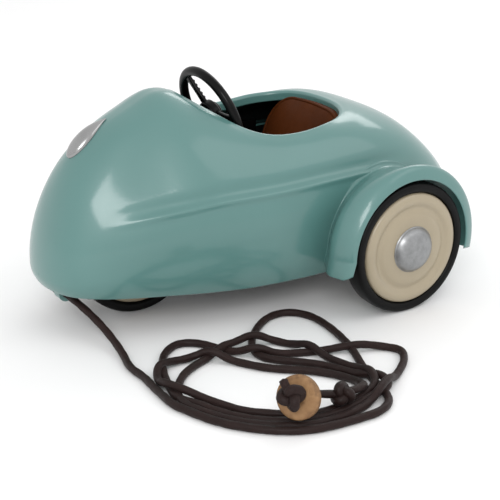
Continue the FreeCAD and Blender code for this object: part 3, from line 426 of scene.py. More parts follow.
# ------------------------------------------------------------------ body form
def natspline(xs, ys):
    xs, ys = np.array(xs, float), np.array(ys, float)
    n = len(xs)
    h = np.diff(xs)
    A = np.eye(n)
    r = np.zeros(n)
    for i in range(1, n - 1):
        A[i, i - 1], A[i, i], A[i, i + 1] = h[i - 1], 2 * (h[i - 1] + h[i]), h[i]
        r[i] = 6 * ((ys[i + 1] - ys[i]) / h[i] - (ys[i] - ys[i - 1]) / h[i - 1])
    m = np.linalg.solve(A, r)

    def g(x):
        x = np.clip(np.asarray(x, float), xs[0], xs[-1])
        i = np.clip(np.searchsorted(xs, x, side="right") - 1, 0, n - 2)
        a, b, hh = xs[i + 1] - x, x - xs[i], h[i]
        return (m[i] * a**3 + m[i + 1] * b**3) / (6 * hh) + (ys[i] / hh - m[i] * hh / 6) * a + (ys[i + 1] / hh - m[i + 1] * hh / 6) * b

    return g


XN, XT = 109.8, -47.5
XM, XA = (XN + XT) / 2, (XN - XT) / 2
ZP, ZPT = 20.0, 27.0


def phi(x):
    return math.acos(max(-1.0, min(1.0, (x - XM) / XA)))


def table(rows):
    rows = sorted(rows, key=lambda q: -q[0])
    return natspline([phi(q[0]) for q in rows], [q[1] for q in rows])


ztop = table([(XN, ZP), (108, 33), (104, 45), (98.5, 55), (92, 62), (84, 67.3), (75, 71.5), (67, 74.6), (57, 73.0), (40, 68.7), (20, 66.5), (0, 64.0), (-20, 57.0), (-35, 45.5), (-43, 37), (XT, ZPT)])
zlow = table([(XN, ZP), (107, 14), (100, 9), (80, 4), (40, 0), (-20, 2), (-40, 12), (XT, ZPT)])
zwid = table([(XN, ZP), (105, 21), (90, 24), (70, 28), (50, 30), (20, 32), (-10, 33), (-30, 31), (XT, ZPT)])
ywid = table([(XN, 0), (108.3, 9.5), (105, 15.5), (100, 19.5), (92.7, 23.5), (84, 27), (76, 29.5), (63, 33), (52, 35), (40, 36.6), (20, 37.6), (0, 37.2), (-20, 34), (-35, 28.5), (-43, 20), (XT, 0)])
nexp = table([(XN, 2.0), (105, 2.0), (95, 1.75), (85, 1.6), (66, 1.7), (40, 2.0), (20, 2.3), (0, 2.7), (-20, 2.8), (-35, 2.5), (XT, 2.0)])
nlow = table([(XN, 2.0), (100, 2.2), (80, 2.4), (70, 2.6), (20, 3.0), (-20, 2.6), (XT, 2.0)])


def sstep(x, a, b):
    t = np.clip((x - a) / (b - a), 0, 1)
    return t * t * (3 - 2 * t)


def base(f, a):
    """Plain form at station angle f and section angle a (-pi..pi, 0 at the top)."""
    x = XM + XA * np.cos(f)
    s, c = np.abs(np.sin(a)), np.cos(a)
    up = c >= 0
    e = np.where(up, 2 / nexp(f), 2 / nlow(f))
    w = sstep(np.abs(c), 0.0, 0.75)
    e = np.where(up & (e > 1), 1 + (e - 1) * w, e)
    yw, zw = ywid(f), zwid(f)
    y = yw * np.power(np.maximum(s, 1e-12), e)
    zz = np.power(np.maximum(np.abs(c), 1e-12), e)
    z = np.where(up, zw + (ztop(f) - zw) * zz, zw - (zw - zlow(f)) * zz)
    return np.stack([x, np.sign(a) * y, z], -1)


def _nrm(fn, f, a, hf=1.5e-3, ha=1.5e-3):
    f1, f0 = np.clip(f + hf, 2e-3, math.pi - 2e-3), np.clip(f - hf, 2e-3, math.pi - 2e-3)
    du = fn(f1, a) - fn(f0, a)
    dv = fn(f, a + ha) - fn(f, a - ha)
    n = np.cross(du, dv)
    n /= np.linalg.norm(n, axis=-1)[..., None] + 1e-20
    return n


# plan of the cockpit opening, as distance from its middle by direction
XF, XR = 59.0, -2.0
RC = np.array([30.0, 0.0])


def rim_plan(off, n=720):
    tab = [(XF, 0), (57.8, 4.6), (54, 9.6), (49, 14.8), (45, 18.3), (36, 22.8), (28, 24.2), (18, 24.2), (8, 21.6), (1.5, 15.6), (-1.1, 8.6), (XR, 0)]
    xm, xa = (XF + XR) / 2, (XF - XR) / 2
    g = natspline([math.acos(max(-1.0, min(1.0, (q[0] - xm) / xa))) for q in tab], [q[1] for q in tab])
    t = np.linspace(0, 2 * math.pi, n, endpoint=False)
    x = xm + xa * np.cos(t)
    y = np.where(t <= math.pi, g(np.minimum(t, 2 * math.pi - t)), -g(np.minimum(t, 2 * math.pi - t)))
    p = np.stack([x, y], -1)
    d = np.roll(p, -1, 0) - np.roll(p, 1, 0)
    d /= np.linalg.norm(d, axis=1)[:, None]
    return p + np.stack([d[:, 1], -d[:, 0]], -1) * (off - 0.6)


def radial(off):
    p = rim_plan(off) - RC
    an = np.arctan2(p[:, 1], p[:, 0])
    o = np.argsort(an)
    an, rr = an[o], np.hypot(p[:, 0], p[:, 1])[o]
    an = np.concatenate([an[-3:] - 2 * math.pi, an, an[:3] + 2 * math.pi])
    rr = np.concatenate([rr[-3:], rr, rr[:3]])
    return lambda x, y: np.hypot(x - RC[0], y - RC[1]) - np.interp(np.arctan2(y - RC[1], x - RC[0]), an, rr)


LIP_R = 1.1
rim_q = radial(LIP_R)


swage = natspline([10, 24.2, 37.7, 50.9, 62.2, 72, 82, 95], [46.2, 45.6, 44.9, 44.6, 44.2, 43.0, 41.6, 39.5])


def dents(p):
    """How far the pressed details stand out of the plain form (mm)."""
    x, y, z = p[..., 0], np.abs(p[..., 1]), p[..., 2]
    s = z - swage(x)
    env = (1 - sstep(x, 74, 96)) * sstep(x, -16, 4)
    d = env * (0.62 * np.exp(-(((s - 1.9) / 1.9) ** 2)) - 0.75 * np.exp(-(((s + 0.9) / 1.15) ** 2)))
    d += np.where(z > 35, 0.85 * np.exp(-(((x + 30.5) / 4.3) ** 4)) * np.exp(-((y / 5.0) ** 4)), 0)
    q = rim_q(x, p[..., 1])
    top = sstep(z, 50, 56)
    d += top * (0.30 * np.exp(-((q / 1.7) ** 2)) + 0.75 * sstep(-x, -16, -2) * np.exp(-((q / 4.2) ** 2)))
    d -= 0.75 * np.exp(-(((x - 80) / 9) ** 2)) * np.exp(-(((y - 9) / 4.5) ** 2)) * sstep(z, 48, 56)
    d += 0.45 * sstep(x, 58, 66) * (1 - sstep(x, 84, 92)) * np.exp(-((y / 2.3) ** 2)) * sstep(z, 60, 64)
    return d


def skin(f, a):
    p = base(f, a)
    return p + _nrm(base, f, a) * dents(p)[..., None]


def edge_z(x):
    return 12.7 + np.maximum(0, x - 50.0) * 0.05


def build_skin():
    nf, na = 300, 440
    fs = np.concatenate([[0.004], np.linspace(0, math.pi, nf + 1)[1:-1], [math.pi - 0.004]])
    aa = np.linspace(-math.pi, math.pi, na, endpoint=False)
    F, A = np.meshgrid(fs, aa, indexing="ij")
    prm = np.stack([F.ravel(), A.ravel()], -1)
    ni = len(fs)
    i = np.arange(ni - 1)[:, None] * na
    j = np.arange(na)[None, :]
    j2 = (j + 1) % na
    quads = np.stack([i + j, i + j2, i + na + j2, i + na + j], -1).reshape(-1, 4)
    P = skin(prm[:, 0], prm[:, 1])
    s1 = P[:, 2] - edge_z(P[:, 0])
    s2 = np.where(P[:, 2] > 40, rim_q(P[:, 0], P[:, 1]), 9.0)
    sv = np.minimum(s1, s2)
    inside = sv > 0
    cnt = inside[quads].sum(1)
    faces = quads[cnt == 4].tolist()
    mixed = quads[(cnt > 0) & (cnt < 4)]
    ea = np.concatenate([mixed[:, [e, (e + 1) % 4]] for e in range(4)])
    ea = np.unique(np.sort(ea[inside[ea[:, 0]] != inside[ea[:, 1]]], axis=1), axis=0)
    u, v = ea[:, 0], ea[:, 1]
    kk = ((s2[u] < 0) | (s2[v] < 0)) & (np.minimum(s2[u], s2[v]) < np.minimum(s1[u], s1[v]))
    pu, pv = prm[u], prm[v].copy()
    wrap = np.abs(pu[:, 1] - pv[:, 1]) > math.pi
    pv[wrap, 1] += np.sign(pu[wrap, 1] - pv[wrap, 1]) * 2 * math.pi
    su = np.where(kk, s2[u], s1[u]) > 0
    lo, hi = np.zeros(len(ea)), np.ones(len(ea))
    for _ in range(14):
        m = (lo + hi) / 2
        q = pu + (pv - pu) * m[:, None]
        w = skin(q[:, 0], q[:, 1])
        val = np.where(kk, rim_q(w[:, 0], w[:, 1]), w[:, 2] - edge_z(w[:, 0])) > 0
        lo = np.where(val == su, m, lo)
        hi = np.where(val == su, hi, m)
    q = pu + (pv - pu) * ((lo + hi) / 2)[:, None]
    n0 = len(prm)
    prm = np.vstack([prm, q])
    cut = {(int(a), int(b)): n0 + k for k, (a, b) in enumerate(ea)}
    loops = {0: (n0 + np.where(~kk)[0]).tolist(), 1: (n0 + np.where(kk)[0]).tolist()}
    for qd in mixed.tolist():
        poly = []
        for e in range(4):
            a, b = qd[e], qd[(e + 1) % 4]
            if inside[a]:
                poly.append(a)
            if inside[a] != inside[b]:
                poly.append(cut[(min(a, b), max(a, b))])
        if len(poly) >= 3:
            faces.append(poly)
    P = skin(prm[:, 0], prm[:, 1])
    N = _nrm(skin, prm[:, 0], prm[:, 1])
    ctr = np.stack([np.clip(P[:, 0], XT + 25, XN - 30), 0 * P[:, 0], np.full(len(P), 32.0)], -1)
    N *= np.sign(np.sum(N * (P - ctr), 1))[:, None]
    used = sorted(set(v for fc in faces for v in fc))
    remap = {v: k for k, v in enumerate(used)}
    faces = [[remap[v] for v in fc] for fc in faces]
    lp = {k: [remap[v] for v in vs if v in remap] for k, vs in loops.items()}
    return P[used], N[used], faces, lp


P, N, faces, loops = build_skin()
# the nose and the tail close in a point
for tip, sx in ((np.array([XN, 0, ZP]), 1), (np.array([XT, 0, ZPT]), -1)):
    ring = np.where(np.abs(P[:, 0] - tip[0]) < 0.02)[0]
    if len(ring) > 8:
        an = np.arctan2(P[ring, 2] - tip[2], P[ring, 1])
        ring = ring[np.argsort(an)]
        P = np.vstack([P, tip])
        N = np.vstack([N, [sx, 0, 0]])
        c = len(P) - 1
        for k in range(len(ring)):
            faces.append([int(ring[k]), int(ring[(k + 1) % len(ring)]), c])
# face winding follows the outward normals
fx = []
for fc in faces:
    a, b, c = P[fc[0]], P[fc[1]], P[fc[2]]
    fx.append(fc if np.dot(np.cross(b - a, c - a), N[fc[0]]) >= 0 else fc[::-1])
faces = fx


def order(ids, c):
    an = np.arctan2(P[ids, 1] - c[1], P[ids, 0] - c[0])
    return [ids[k] for k in np.argsort(an)]


def sweep_loop(ids, prof):
    """Strip of rings following a closed boundary; prof(P, N, B) lists points and normals."""
    p, n = P[ids], N[ids]
    t = np.roll(p, -1, 0) - np.roll(p, 1, 0)
    t /= np.linalg.norm(t, axis=1)[:, None]
    rings = prof(p, n, t)
    k = len(ids)
    V = np.concatenate([r[0] for r in rings])
    W = np.concatenate([r[1] for r in rings])
    fcs = []
    for q in range(len(rings) - 1):
        for e in range(k):
            e2 = (e + 1) % k
            fcs.append([q * k + e, q * k + e2, (q + 1) * k + e2, (q + 1) * k + e])
    out = []
    for fc in fcs:
        a, b, c = V[fc[0]], V[fc[1]], V[fc[2]]
        out.append(fc if np.dot(np.cross(b - a, c - a), W[fc[0]] + W[fc[2]]) >= 0 else fc[::-1])
    return V, W, out


def unit(v):
    return v / (np.linalg.norm(v, axis=-1)[..., None] + 1e-20)


def lip_prof(p, n, t):
    """Rolled cockpit lip: turns from the skin down into the opening."""
    b = unit(np.cross(t, n))
    inward = np.stack([RC[0] - p[:, 0], RC[1] - p[:, 1], 0 * p[:, 0]], -1)
    b *= np.sign(np.sum(b * inward, 1))[:, None]
    down = np.array([0, 0, -1.0])
    down = unit(down - t * (t @ down)[:, None])
    ang = np.arccos(np.clip(np.sum(b * down, 1), -1, 1))
    rings = []
    pos = p.copy()
    steps = 12
    r = LIP_R
    axis_n = unit(down - b * np.sum(b * down, 1)[:, None])
    rings.append((pos, n))
    for k in range(steps):
        th = ang * (k + 0.5) / steps
        d = b * np.cos(th)[:, None] + axis_n * np.sin(th)[:, None]
        pos = pos + d * (r * ang / steps)[:, None]
        th2 = ang * (k + 1) / steps
        nn = b * np.sin(th2)[:, None] - axis_n * np.cos(th2)[:, None]
        rings.append((pos, nn))
    nn = rings[-1][1]
    pos = pos + down * 1.9
    rings.append((pos, nn))
    for k in range(1, 7):
        th = math.pi * k / 6
        c = pos - nn * 0.45
        rings.append((c + nn * 0.45 * math.cos(th) + down * 0.45 * math.sin(th), nn * math.cos(th) + down * math.sin(th)))
    rings.append((rings[-1][0] - down * 2.6, -nn))
    return rings


def hem_prof(p, n, t):
    """Lower edge of the shell, folded round and back up inside."""
    down = np.array([0, 0, -1.0])
    down = unit(down - n * (n @ down)[:, None])
    rings = [(p, n)]
    r = 0.55
    for k in range(1, 9):
        th = math.pi * k / 8
        c = p - n * r
        rings.append((c + n * r * math.cos(th) + down * r * math.sin(th), n * math.cos(th) + down * math.sin(th)))
    last = rings[-1]
    rings.append((last[0] - down * 3.0, -n))
    return rings


rim_ids = order(loops[1], RC)
low_ids = order(loops[0], (31.0, 0.0))
lipV, lipW, lipF = sweep_loop(rim_ids, lip_prof)
hemV, hemW, hemF = sweep_loop(low_ids, hem_prof)
# inner face of the sheet
inV, inW = P - N * 0.9, -N
inF = [fc[::-1] for fc in faces]
o1 = len(P)
o2 = o1 + len(lipV)
o3 = o2 + len(hemV)
V = np.concatenate([P, lipV, hemV, inV])
W = np.concatenate([N, lipW, hemW, inW])
F = faces + [[v + o1 for v in fc] for fc in lipF] + [[v + o2 for v in fc] for fc in hemF] + [[v + o3 for v in fc] for fc in inF]
body = link_mesh("body_skin", M(V), F, W)
# painted shade of the unlit inside: the inner face is darkened toward near-black; only the rolled edge and a
# narrow band are bright
ins = np.zeros(len(V))
ins[o3:] = 1.0
qin = rim_q(V[o3:, 0], V[o3:, 1])
ins[o3:] = np.where(V[o3:, 2] > 40, sstep(qin, 3.0, 9.0), 1.0)
at = body.data.attributes.new("inside", "FLOAT", "POINT")
at.data.foreach_set("value", ins.astype(np.float32))
finish_piece(body, ENAMEL, "chassis", "enamel", "body_shell")


def tidy(ob):
    """Merge coincident points and turn every face outward."""
    bm = bmesh.new()
    bm.from_mesh(ob.data)
    bmesh.ops.remove_doubles(bm, verts=bm.verts, dist=1e-6)
    bmesh.ops.recalc_face_normals(bm, faces=bm.faces)
    bm.to_mesh(ob.data)
    bm.free()
    ob.data.update()


# ------------------------------------------------------------------ nose lamp
def on_top(x, y):
    """Section angle of the skin at station x and half width y."""
    f = np.arccos(np.clip((x - XM) / XA, -1, 1))
    lo, hi = np.zeros_like(x), np.full_like(x, math.pi / 2)
    for _ in range(30):
        m = (lo + hi) / 2
        big = np.abs(base(f, m)[..., 1]) > np.abs(y)
        hi = np.where(big, m, hi)
        lo = np.where(big, lo, m)
    return f, (lo + hi) / 2 * np.sign(np.where(y == 0, 1, y))


def lamp_mesh():
    ns, nt = 72, 56
    s = 0.5 - 0.5 * np.cos(math.pi * np.linspace(0.0, 1.0, ns))
    t = np.linspace(-1, 1, nt)
    S_, T_ = np.meshgrid(s, t, indexing="ij")
    w = 2.598 * S_ * np.sqrt(np.maximum(1 - S_, 0))
    w = 0.86 * w + 0.14 * np.sqrt(np.maximum(S_ * (1 - S_), 0)) * 2 * sstep(S_, 0.0, 0.5)
    x = 83.3 + (97.3 - 83.3) * S_
    y = 3.5 * w * np.sin(T_ * math.pi / 2)
    f, a = on_top(x, np.where(np.abs(y) < 1e-4, 1e-4, y))
    p = base(f, a)
    n = _nrm(base, f, a)
    n *= np.sign(n[..., 0])[..., None]
    h = 2.1 * w**0.8 * np.cos(T_ * math.pi / 2) ** 0.85 - 0.25
    p = p + n * h[..., None]
    v = p.reshape(-1, 3)
    i = np.arange(ns - 1)[:, None] * nt
    j = np.arange(nt - 1)[None, :]
    fc = np.stack([i + j, i + j + 1, i + nt + j + 1, i + nt + j], -1).reshape(-1, 4)
    a0 = v[fc[:, 0]]
    nn = np.cross(v[fc[:, 1]] - a0, v[fc[:, 2]] - a0)
    if np.sum(nn[:, 0]) < 0:
        fc = fc[:, ::-1]
    return v, fc.tolist()


lv, lf = lamp_mesh()
lamp = link_mesh("nose_lamp_dome", M(lv), lf)
finish_piece(lamp, CHROME, "chassis", "chrome", "nose_lamp")


# ------------------------------------------------------------------ mudguards
def catmull(pts, per=8):
    p = np.array(pts, float)
    p = np.vstack([2 * p[0] - p[1], p, 2 * p[-1] - p[-2]])
    out = []
    for k in range(1, len(p) - 2):
        for q in range(per):
            u = q / per
            out.append(0.5 * (2 * p[k] + (p[k + 1] - p[k - 1]) * u + (2 * p[k - 1] - 5 * p[k] + 4 * p[k + 1] - p[k + 2]) * u * u + (3 * p[k] - p[k - 1] - 3 * p[k + 1] + p[k + 2]) * u**3))
    out.append(p[-2])
    return np.array(out)


def half_width(x, z):
    """Half width of the plain form at station x and height z."""
    f = np.arccos(np.clip((x - XM) / XA, -1, 1))
    lo, hi = np.zeros_like(x), np.full_like(x, math.pi)
    for _ in range(34):
        m = (lo + hi) / 2
        up = base(f, m)[..., 2] > z
        lo = np.where(up, m, lo)
        hi = np.where(up, hi, m)
    return np.abs(base(f, (lo + hi) / 2)[..., 1])


FRONT = [(38.6, 22.9), (40.0, 23.7), (42.0, 25.3), (44.0, 27.0), (45.6, 27.85), (47.2, 28.05), (49.2, 27.6), (51.2, 26.7), (52.6, 25.8), (53.6, 24.9), (54.2, 24.0)]
BACK = [(38.6, 23.7), (40.0, 24.2), (42.0, 24.75), (44.0, 25.4), (46.5, 26.3), (49.0, 27.3), (50.8, 27.95), (51.9, 28.0), (53.0, 27.1), (53.8, 25.4), (54.2, 24.0)]


def guard_mesh(sgn):
    cx, cz = -0.2, 22.5
    th = 0.8
    ns, nt = 16, 120
    cols = []
    for k in range(ns + nt + 1):
        w = 0.0 if k < ns else float(sstep(np.array(180.0 * (k - ns) / nt), 25.0, 88.0))
        ramp = catmull(np.array(FRONT) * (1 - w) + np.array(BACK) * w, 6)
        d = np.gradient(ramp, axis=0)
        d /= np.linalg.norm(d, axis=1)[:, None]
        nrm = np.stack([-d[:, 1], d[:, 0]], -1)
        tipc = ramp[-1] - nrm[-1] * th / 2
        tip = np.array([tipc + nrm[-1] * th / 2 * math.cos(math.pi * e / 6) + d[-1] * th / 2 * math.sin(math.pi * e / 6) for e in range(1, 6)])
        inn = (ramp - nrm * th)[::-1]
        ro = ramp[0][1] - 0.35
        rho = 0.3 + 1.4 * (0.0 if k < ns else float(sstep(np.array(180.0 * (k - ns) / nt), 28.0, 70.0)))

        # station on the path: skirt below the axle in front, arc above and behind
        def at(y, r, k=k):
            zf = 16.8 + 1.5 * max(0.0, (y - 51.8) / 2.4) ** 2
            if k < ns:
                z = zf + (cz - zf) * k / ns
                return np.array([cx + r + max(0.0, 22.5 - z) * (0.13 + 0.17 * float(sstep(np.array(y), 49.0, 54.0))), sgn * y, z])
            a1 = math.pi - math.asin((zf - cz) / r)
            a = a1 * (k - ns) / nt
            return np.array([cx + r * math.cos(a), sgn * y, cz + r * math.sin(a)])

        q = at(37.0, ro + 0.8)
        yb = float(half_width(np.array([q[0]]), np.array([q[2]]))[0])
        pts = [at(yb - 1.2, ro + rho + 0.2)]
        for e in range(0, 9):
            fi = math.pi / 2 * e / 8
            pts.append(at(yb + rho - rho * math.cos(fi) - 0.05, ro + rho - (rho - 0.12) * math.sin(fi)))
        ys = yb + rho
        sh = lambda y: y + (ys + 0.45 - 38.6) * (1 - float(sstep(np.array(y), 38.6, 46.0)))
        pts += [at(sh(y), r) for y, r in ramp]
        pts += [at(y, r) for y, r in tip]
        pts += [at(sh(y), r) for y, r in inn]
        pts.append(at(yb - 1.2, ro - 1.3))
        cols.append(pts)
    no = 10 + len(ramp)
    nq = len(cols[0])
    K = ns + nt + 1
    v = np.array(cols).transpose(1, 0, 2).reshape(-1, 3)
    f = []
    for a in range(nq - 1):
        for b in range(K - 1):
            f.append([a * K + b, a * K + b + 1, (a + 1) * K + b + 1, (a + 1) * K + b])
    # foot and tail edges
    for b in (0, K - 1):
        inner0 = no + len(tip)
        for a in range(len(ramp) - 1):
            o = 10 + a
            i = nq - 2 - a
            f.append([o * K + b, (o + 1) * K + b, (i - 1) * K + b, i * K + b])
        f.append([(no - 1) * K + b] + [(no + e) * K + b for e in range(len(tip))] + [inner0 * K + b])
        f.append([e * K + b for e in range(0, 11)] + [(nq - 2) * K + b, (nq - 1) * K + b])
    return v, f


for side, sgn in (("left", 1), ("right", -1)):
    gv, gf = guard_mesh(sgn)
    g = link_mesh("guard_" + side, M(gv), gf)
    tidy(g)
    finish_piece(g, ENAMEL, "chassis", "enamel", "mudguard_" + side)


# ------------------------------------------------------------------ turned pieces
def lathe(name, prof, centre, axis, seg=128, closed=False, smooth_per=0):
    """prof lists (radius, distance along axis) in mm; centre in layout mm."""
    pr = np.array(prof, float)
    if smooth_per:
        pr = catmull(pr, smooth_per)
    ax = unit(np.array(axis, float))
    ref = np.array([1.0, 0, 0]) if abs(ax[0]) < 0.8 else np.array([0, 1.0, 0])
    u = unit(np.cross(ax, ref))
    w = np.cross(ax, u)
    an = np.linspace(0, 2 * math.pi, seg, endpoint=False)
    c = np.array(centre, float)
    v = c + pr[:, None, 1, None] * ax + pr[:, None, 0, None] * (np.cos(an)[None, :, None] * u + np.sin(an)[None, :, None] * w)
    v = v.reshape(-1, 3)
    k = len(pr)
    f = []
    for a in range(k if closed else k - 1):
        a2 = (a + 1) % k
        for b in range(seg):
            b2 = (b + 1) % seg
            f.append([a * seg + b, a * seg + b2, a2 * seg + b2, a2 * seg + b])
    ob = link_mesh(name, M(v), f)
    tidy(ob)
    return ob


TYRE = [(16.0, 3.0), (18.3, 3.0), (18.75, 2.75), (19.0, 2.75), (19.2, 3.2), (19.5, 3.65), (20.1, 3.9), (20.8, 3.95), (21.4, 3.88), (21.9, 3.62), (22.22, 3.2), (22.38, 2.6), (22.46, 1.6), (22.5, 0.0)]
TYRE = TYRE + [(r, -y) for r, y in TYRE[-2::-1]]
DISC = [(1.6, 4.42), (6.0, 4.44), (8.6, 4.44), (10.6, 4.38), (12.0, 4.15), (12.9, 3.75), (13.6, 3.45), (14.2, 3.45), (14.8, 3.75), (15.5, 4.15), (16.4, 4.36), (17.3, 4.3), (18.1, 4.0), (18.6, 3.6), (18.85, 3.1), (18.9, 2.7), (18.4, 2.7), (17.6, 3.2)]
CAP = [(0.0, 7.9), (1.6, 7.86), (3.2, 7.66), (4.6, 7.3), (5.8, 6.78), (6.7, 6.15), (7.35, 5.4), (7.65, 4.85), (7.9, 4.6), (7.9, 4.4)]
MID = 53.8 - 3.95
for side, sgn in (("left", 1), ("right", -1)):
    for nm, prof, mat, slot, cad, per in (
        ("rear_tyre_soft_", TYRE, RUBBER, "tyre", "rear_tyre_", 3),
        ("rear_disc_", DISC, CREAM, "enamel_cream", "rear_wheel_outer_disc_", 5),
        ("rear_cap_", CAP, SILVER, "silver", "hubcap_", 5),
    ):
        ob = lathe(nm + side, prof, (0, sgn * MID, 22.5), (0, sgn, 0), 160, smooth_per=per)
        finish_piece(ob, mat, "rear_wheels", slot, cad + side)
    ob = lathe("rear_disc_in_" + side, DISC, (0, sgn * MID, 22.5), (0, -sgn, 0), 160, smooth_per=5)
    finish_piece(ob, CREAM, "rear_wheels", "enamel_cream", "rear_wheel_inner_disc_" + side)
    ob = lathe("front_disc_" + side, DISC, (74.8, 0, 22.5), (0, sgn, 0), 160, smooth_per=5)
    finish_piece(ob, CREAM, "front_wheel", "enamel_cream", "front_wheel_disc_" + side)
ob = lathe("front_tyre_soft", TYRE, (74.8, 0, 22.5), (0, 1, 0), 160, smooth_per=3)
finish_piece(ob, RUBBER, "front_wheel", "tyre", "front_tyre")


# ------------------------------------------------------------------ steering wheel
C = np.array([43.8, 0, 63.3])
tl = math.radians(70)
AXS = np.array([-math.sin(tl), 0, math.cos(tl)])  # toward the driver
SU = np.array([math.cos(tl), 0, math.sin(tl)])
SV = np.cross(AXS, SU)


def join(name, obs):
    bpy.ops.object.select_all(action="DESELECT")
    for o in obs:
        o.select_set(True)
    bpy.context.view_layer.objects.active = obs[0]
    bpy.ops.object.join()
    obs[0].name = name
    obs[0].select_set(False)
    return obs[0]


an = np.linspace(0, 2 * math.pi, 161)[:-1]
ring = []
tor = [(15.55 + 1.6 * math.cos(q), 1.6 * math.sin(q)) for q in np.linspace(0, 2 * math.pi, 25)[:-1]]
sw = [lathe("sw_rim", tor, C, AXS, 160, closed=True)]
sw.append(lathe("sw_hub", [(0, 3.0), (1.5, 2.92), (2.6, 2.65), (3.2, 2.2), (3.35, 1.8), (3.9, 1.5), (4.45, 1.15), (4.6, 0.6), (4.6, -1.5), (3.9, -1.9), (1.6, -1.9)], C, AXS, 64, smooth_per=3))
for k in range(3):
    a = math.radians(326 + 120 * k)
    d = SU * math.cos(a) + SV * math.sin(a)
    e = np.cross(AXS, d)
    pts, fcs = [], []
    rs = np.linspace(3.4, 15.0, 14)
    cs = 20
    for q, r in enumerate(rs):
        hw = 1.75 - 0.5 * math.sin((q / 13) * math.pi) - 0.15 * q / 13
        for b in range(cs):
            w = 2 * math.pi * b / cs
            cx, sx = math.cos(w), math.sin(w)
            px = math.copysign(abs(cx) ** 0.7, cx) * hw
            pz = math.copysign(abs(sx) ** 0.7, sx) * 0.72
            pts.append(C + d * r + e * px + AXS * pz)
    for q in range(13):
        for b in range(cs):
            b2 = (b + 1) % cs
            fcs.append([q * cs + b, q * cs + b2, (q + 1) * cs + b2, (q + 1) * cs + b])
    sp = link_mesh("sw_spoke", M(pts), fcs)
    sw.append(sp)
    for r in (5.9, 7.5, 9.1, 10.7, 12.3):
        sw.append(lathe("sw_bead", [(0, 0.62), (0.3, 0.57), (0.52, 0.4), (0.6, 0.15), (0.6, -0.2)], C + d * r + AXS * 0.62, AXS, 16, smooth_per=2))
wheel = join("steering_wheel_painted", sw)
finish_piece(wheel, BLACK_GLOSS, "steering", "black_metal", "steering_wheel")


# ------------------------------------------------------------------ seat
def pillow(name, centre, ux, uy, uz, half, rad, crown, n=26, wrinkle=0.0):
    """Stuffed block: rounded box whose faces swell; ux uy uz are its axes."""
    g = np.linspace(-1, 1, n)
    vs, fs = [], []
    key = {}

    def vid(p):
        q = tuple(np.round(p, 5))
        if q not in key:
            key[q] = len(vs)
            vs.append(p)
        return key[q]

    for ax in range(3):
        for sg in (-1, 1):
            for a in range(n - 1):
                for b in range(n - 1):
                    c = []
                    for (i, j) in ((a, b), (a + 1, b), (a + 1, b + 1), (a, b + 1)):
                        p = [0, 0, 0]
                        p[ax] = sg
                        p[(ax + 1) % 3] = g[i]
                        p[(ax + 2) % 3] = g[j]
                        c.append(vid(np.array(p, float)))
                    fs.append(c if sg > 0 else c[::-1])
    v = np.array(vs)
    half = np.array(half, float)
    # edges gather, faces swell
    t = np.sin(v * math.pi / 2 * 0.92) / math.sin(math.pi / 2 * 0.92)
    p = t * half
    inner = half - rad
    q = np.clip(p, -inner, inner)
    d = p - q
    L = np.linalg.norm(d, axis=1)
    m = L > 1e-9
    mx = np.abs(d).max(1)
    d[m] = d[m] / L[m][:, None] * np.minimum(L[m], rad)[:, None]
    p = q + d
    for ax in range(3):
        o = [(ax + 1) % 3, (ax + 2) % 3]
        sw_ = (1 - v[:, o[0]] ** 2) * (1 - v[:, o[1]] ** 2)
        p[:, ax] += np.sign(v[:, ax]) * (np.abs(v[:, ax]) > 0.999) * crown[ax] * sw_
    if wrinkle:
        w = np.sin(p[:, 0] * 1.1 + 1.7 * np.sin(p[:, 1] * 0.35)) * np.exp(-((np.abs(v[:, 1]) - 1) / 0.25) ** 2)
        p[:, 2] += wrinkle * w * (v[:, 2] > 0.9)
    X = np.array(centre) + p[:, :1] * np.array(ux) + p[:, 1:2] * np.array(uy) + p[:, 2:] * np.array(uz)
    return link_mesh(name, M(X), fs)


def piping(name, centre, ux, uy, uz, hx, hy, z, r, cr):
    """Cord sewn round the face of a cushion."""
    pts = []
    for sx, sy, a0 in ((1, 1, 0), (-1, 1, 90), (-1, -1, 180), (1, -1, 270)):
        for k in range(7):
            a = math.radians(a0 + 15 * k)
            pts.append((sx * (hx - cr) + cr * math.cos(a), sy * (hy - cr) + cr * math.sin(a)))
    pts = np.array(pts + [pts[0]])
    X = np.array(centre) + pts[:, :1] * np.array(ux) + pts[:, 1:2] * np.array(uy) + z * np.array(uz)
    path, s = resample(M(X), 0.0006)
    path = path.copy()
    path[1:-1] = (path[:-2] + 2 * path[1:-1] + path[2:]) / 4
    return tube(name, path, r / 1000.0, 10)


UX, UY, UZ = np.eye(3)
cc = (21.1, 0, 31.0)
cu = pillow("seat_cushion_soft", cc, UX, UY, UZ, (9.2, 17.9, 3.1), 2.6, (0.2, 0.2, 0.9), wrinkle=0.10)
cp = piping("seat_cushion_piping", cc, UX, UY, UZ, 8.6, 17.3, 1.9, 0.55, 2.6)
finish_piece(cu, LEATHER, "chassis", "leather", "seat_cushion")
finish_piece(cp, LEATHER, "chassis", "leather")
bd = unit(np.array([-11.9, 0, 31.8]))
bn = np.array([bd[2], 0, -bd[0]])
b0 = np.array([9.0, 0, 27.8]) + bd * 6.6 + bn * 0.15


def arch_line(half, r, L, n=40):
    """Outline of the back: straight foot, upright sides, rounded upper corners (y, up)."""
    p = [(half * q / 10 * 1.0, 0.0) for q in range(0, 11)]
    p += [(half, (L - r) * q / 8) for q in range(1, 9)]
    for q in range(1, 17):
        a = math.pi / 2 * q / 16
        p.append((half - r + r * math.cos(a), L - r + r * math.sin(a)))
    p += [((half - r) * (1 - q / 6), L + 0.35 * math.sin(math.pi / 2 * q / 6)) for q in range(1, 7)]
    p = np.array(p)
    m = p[::-1][1:-1].copy()
    m[:, 0] *= -1
    return np.vstack([p, m])


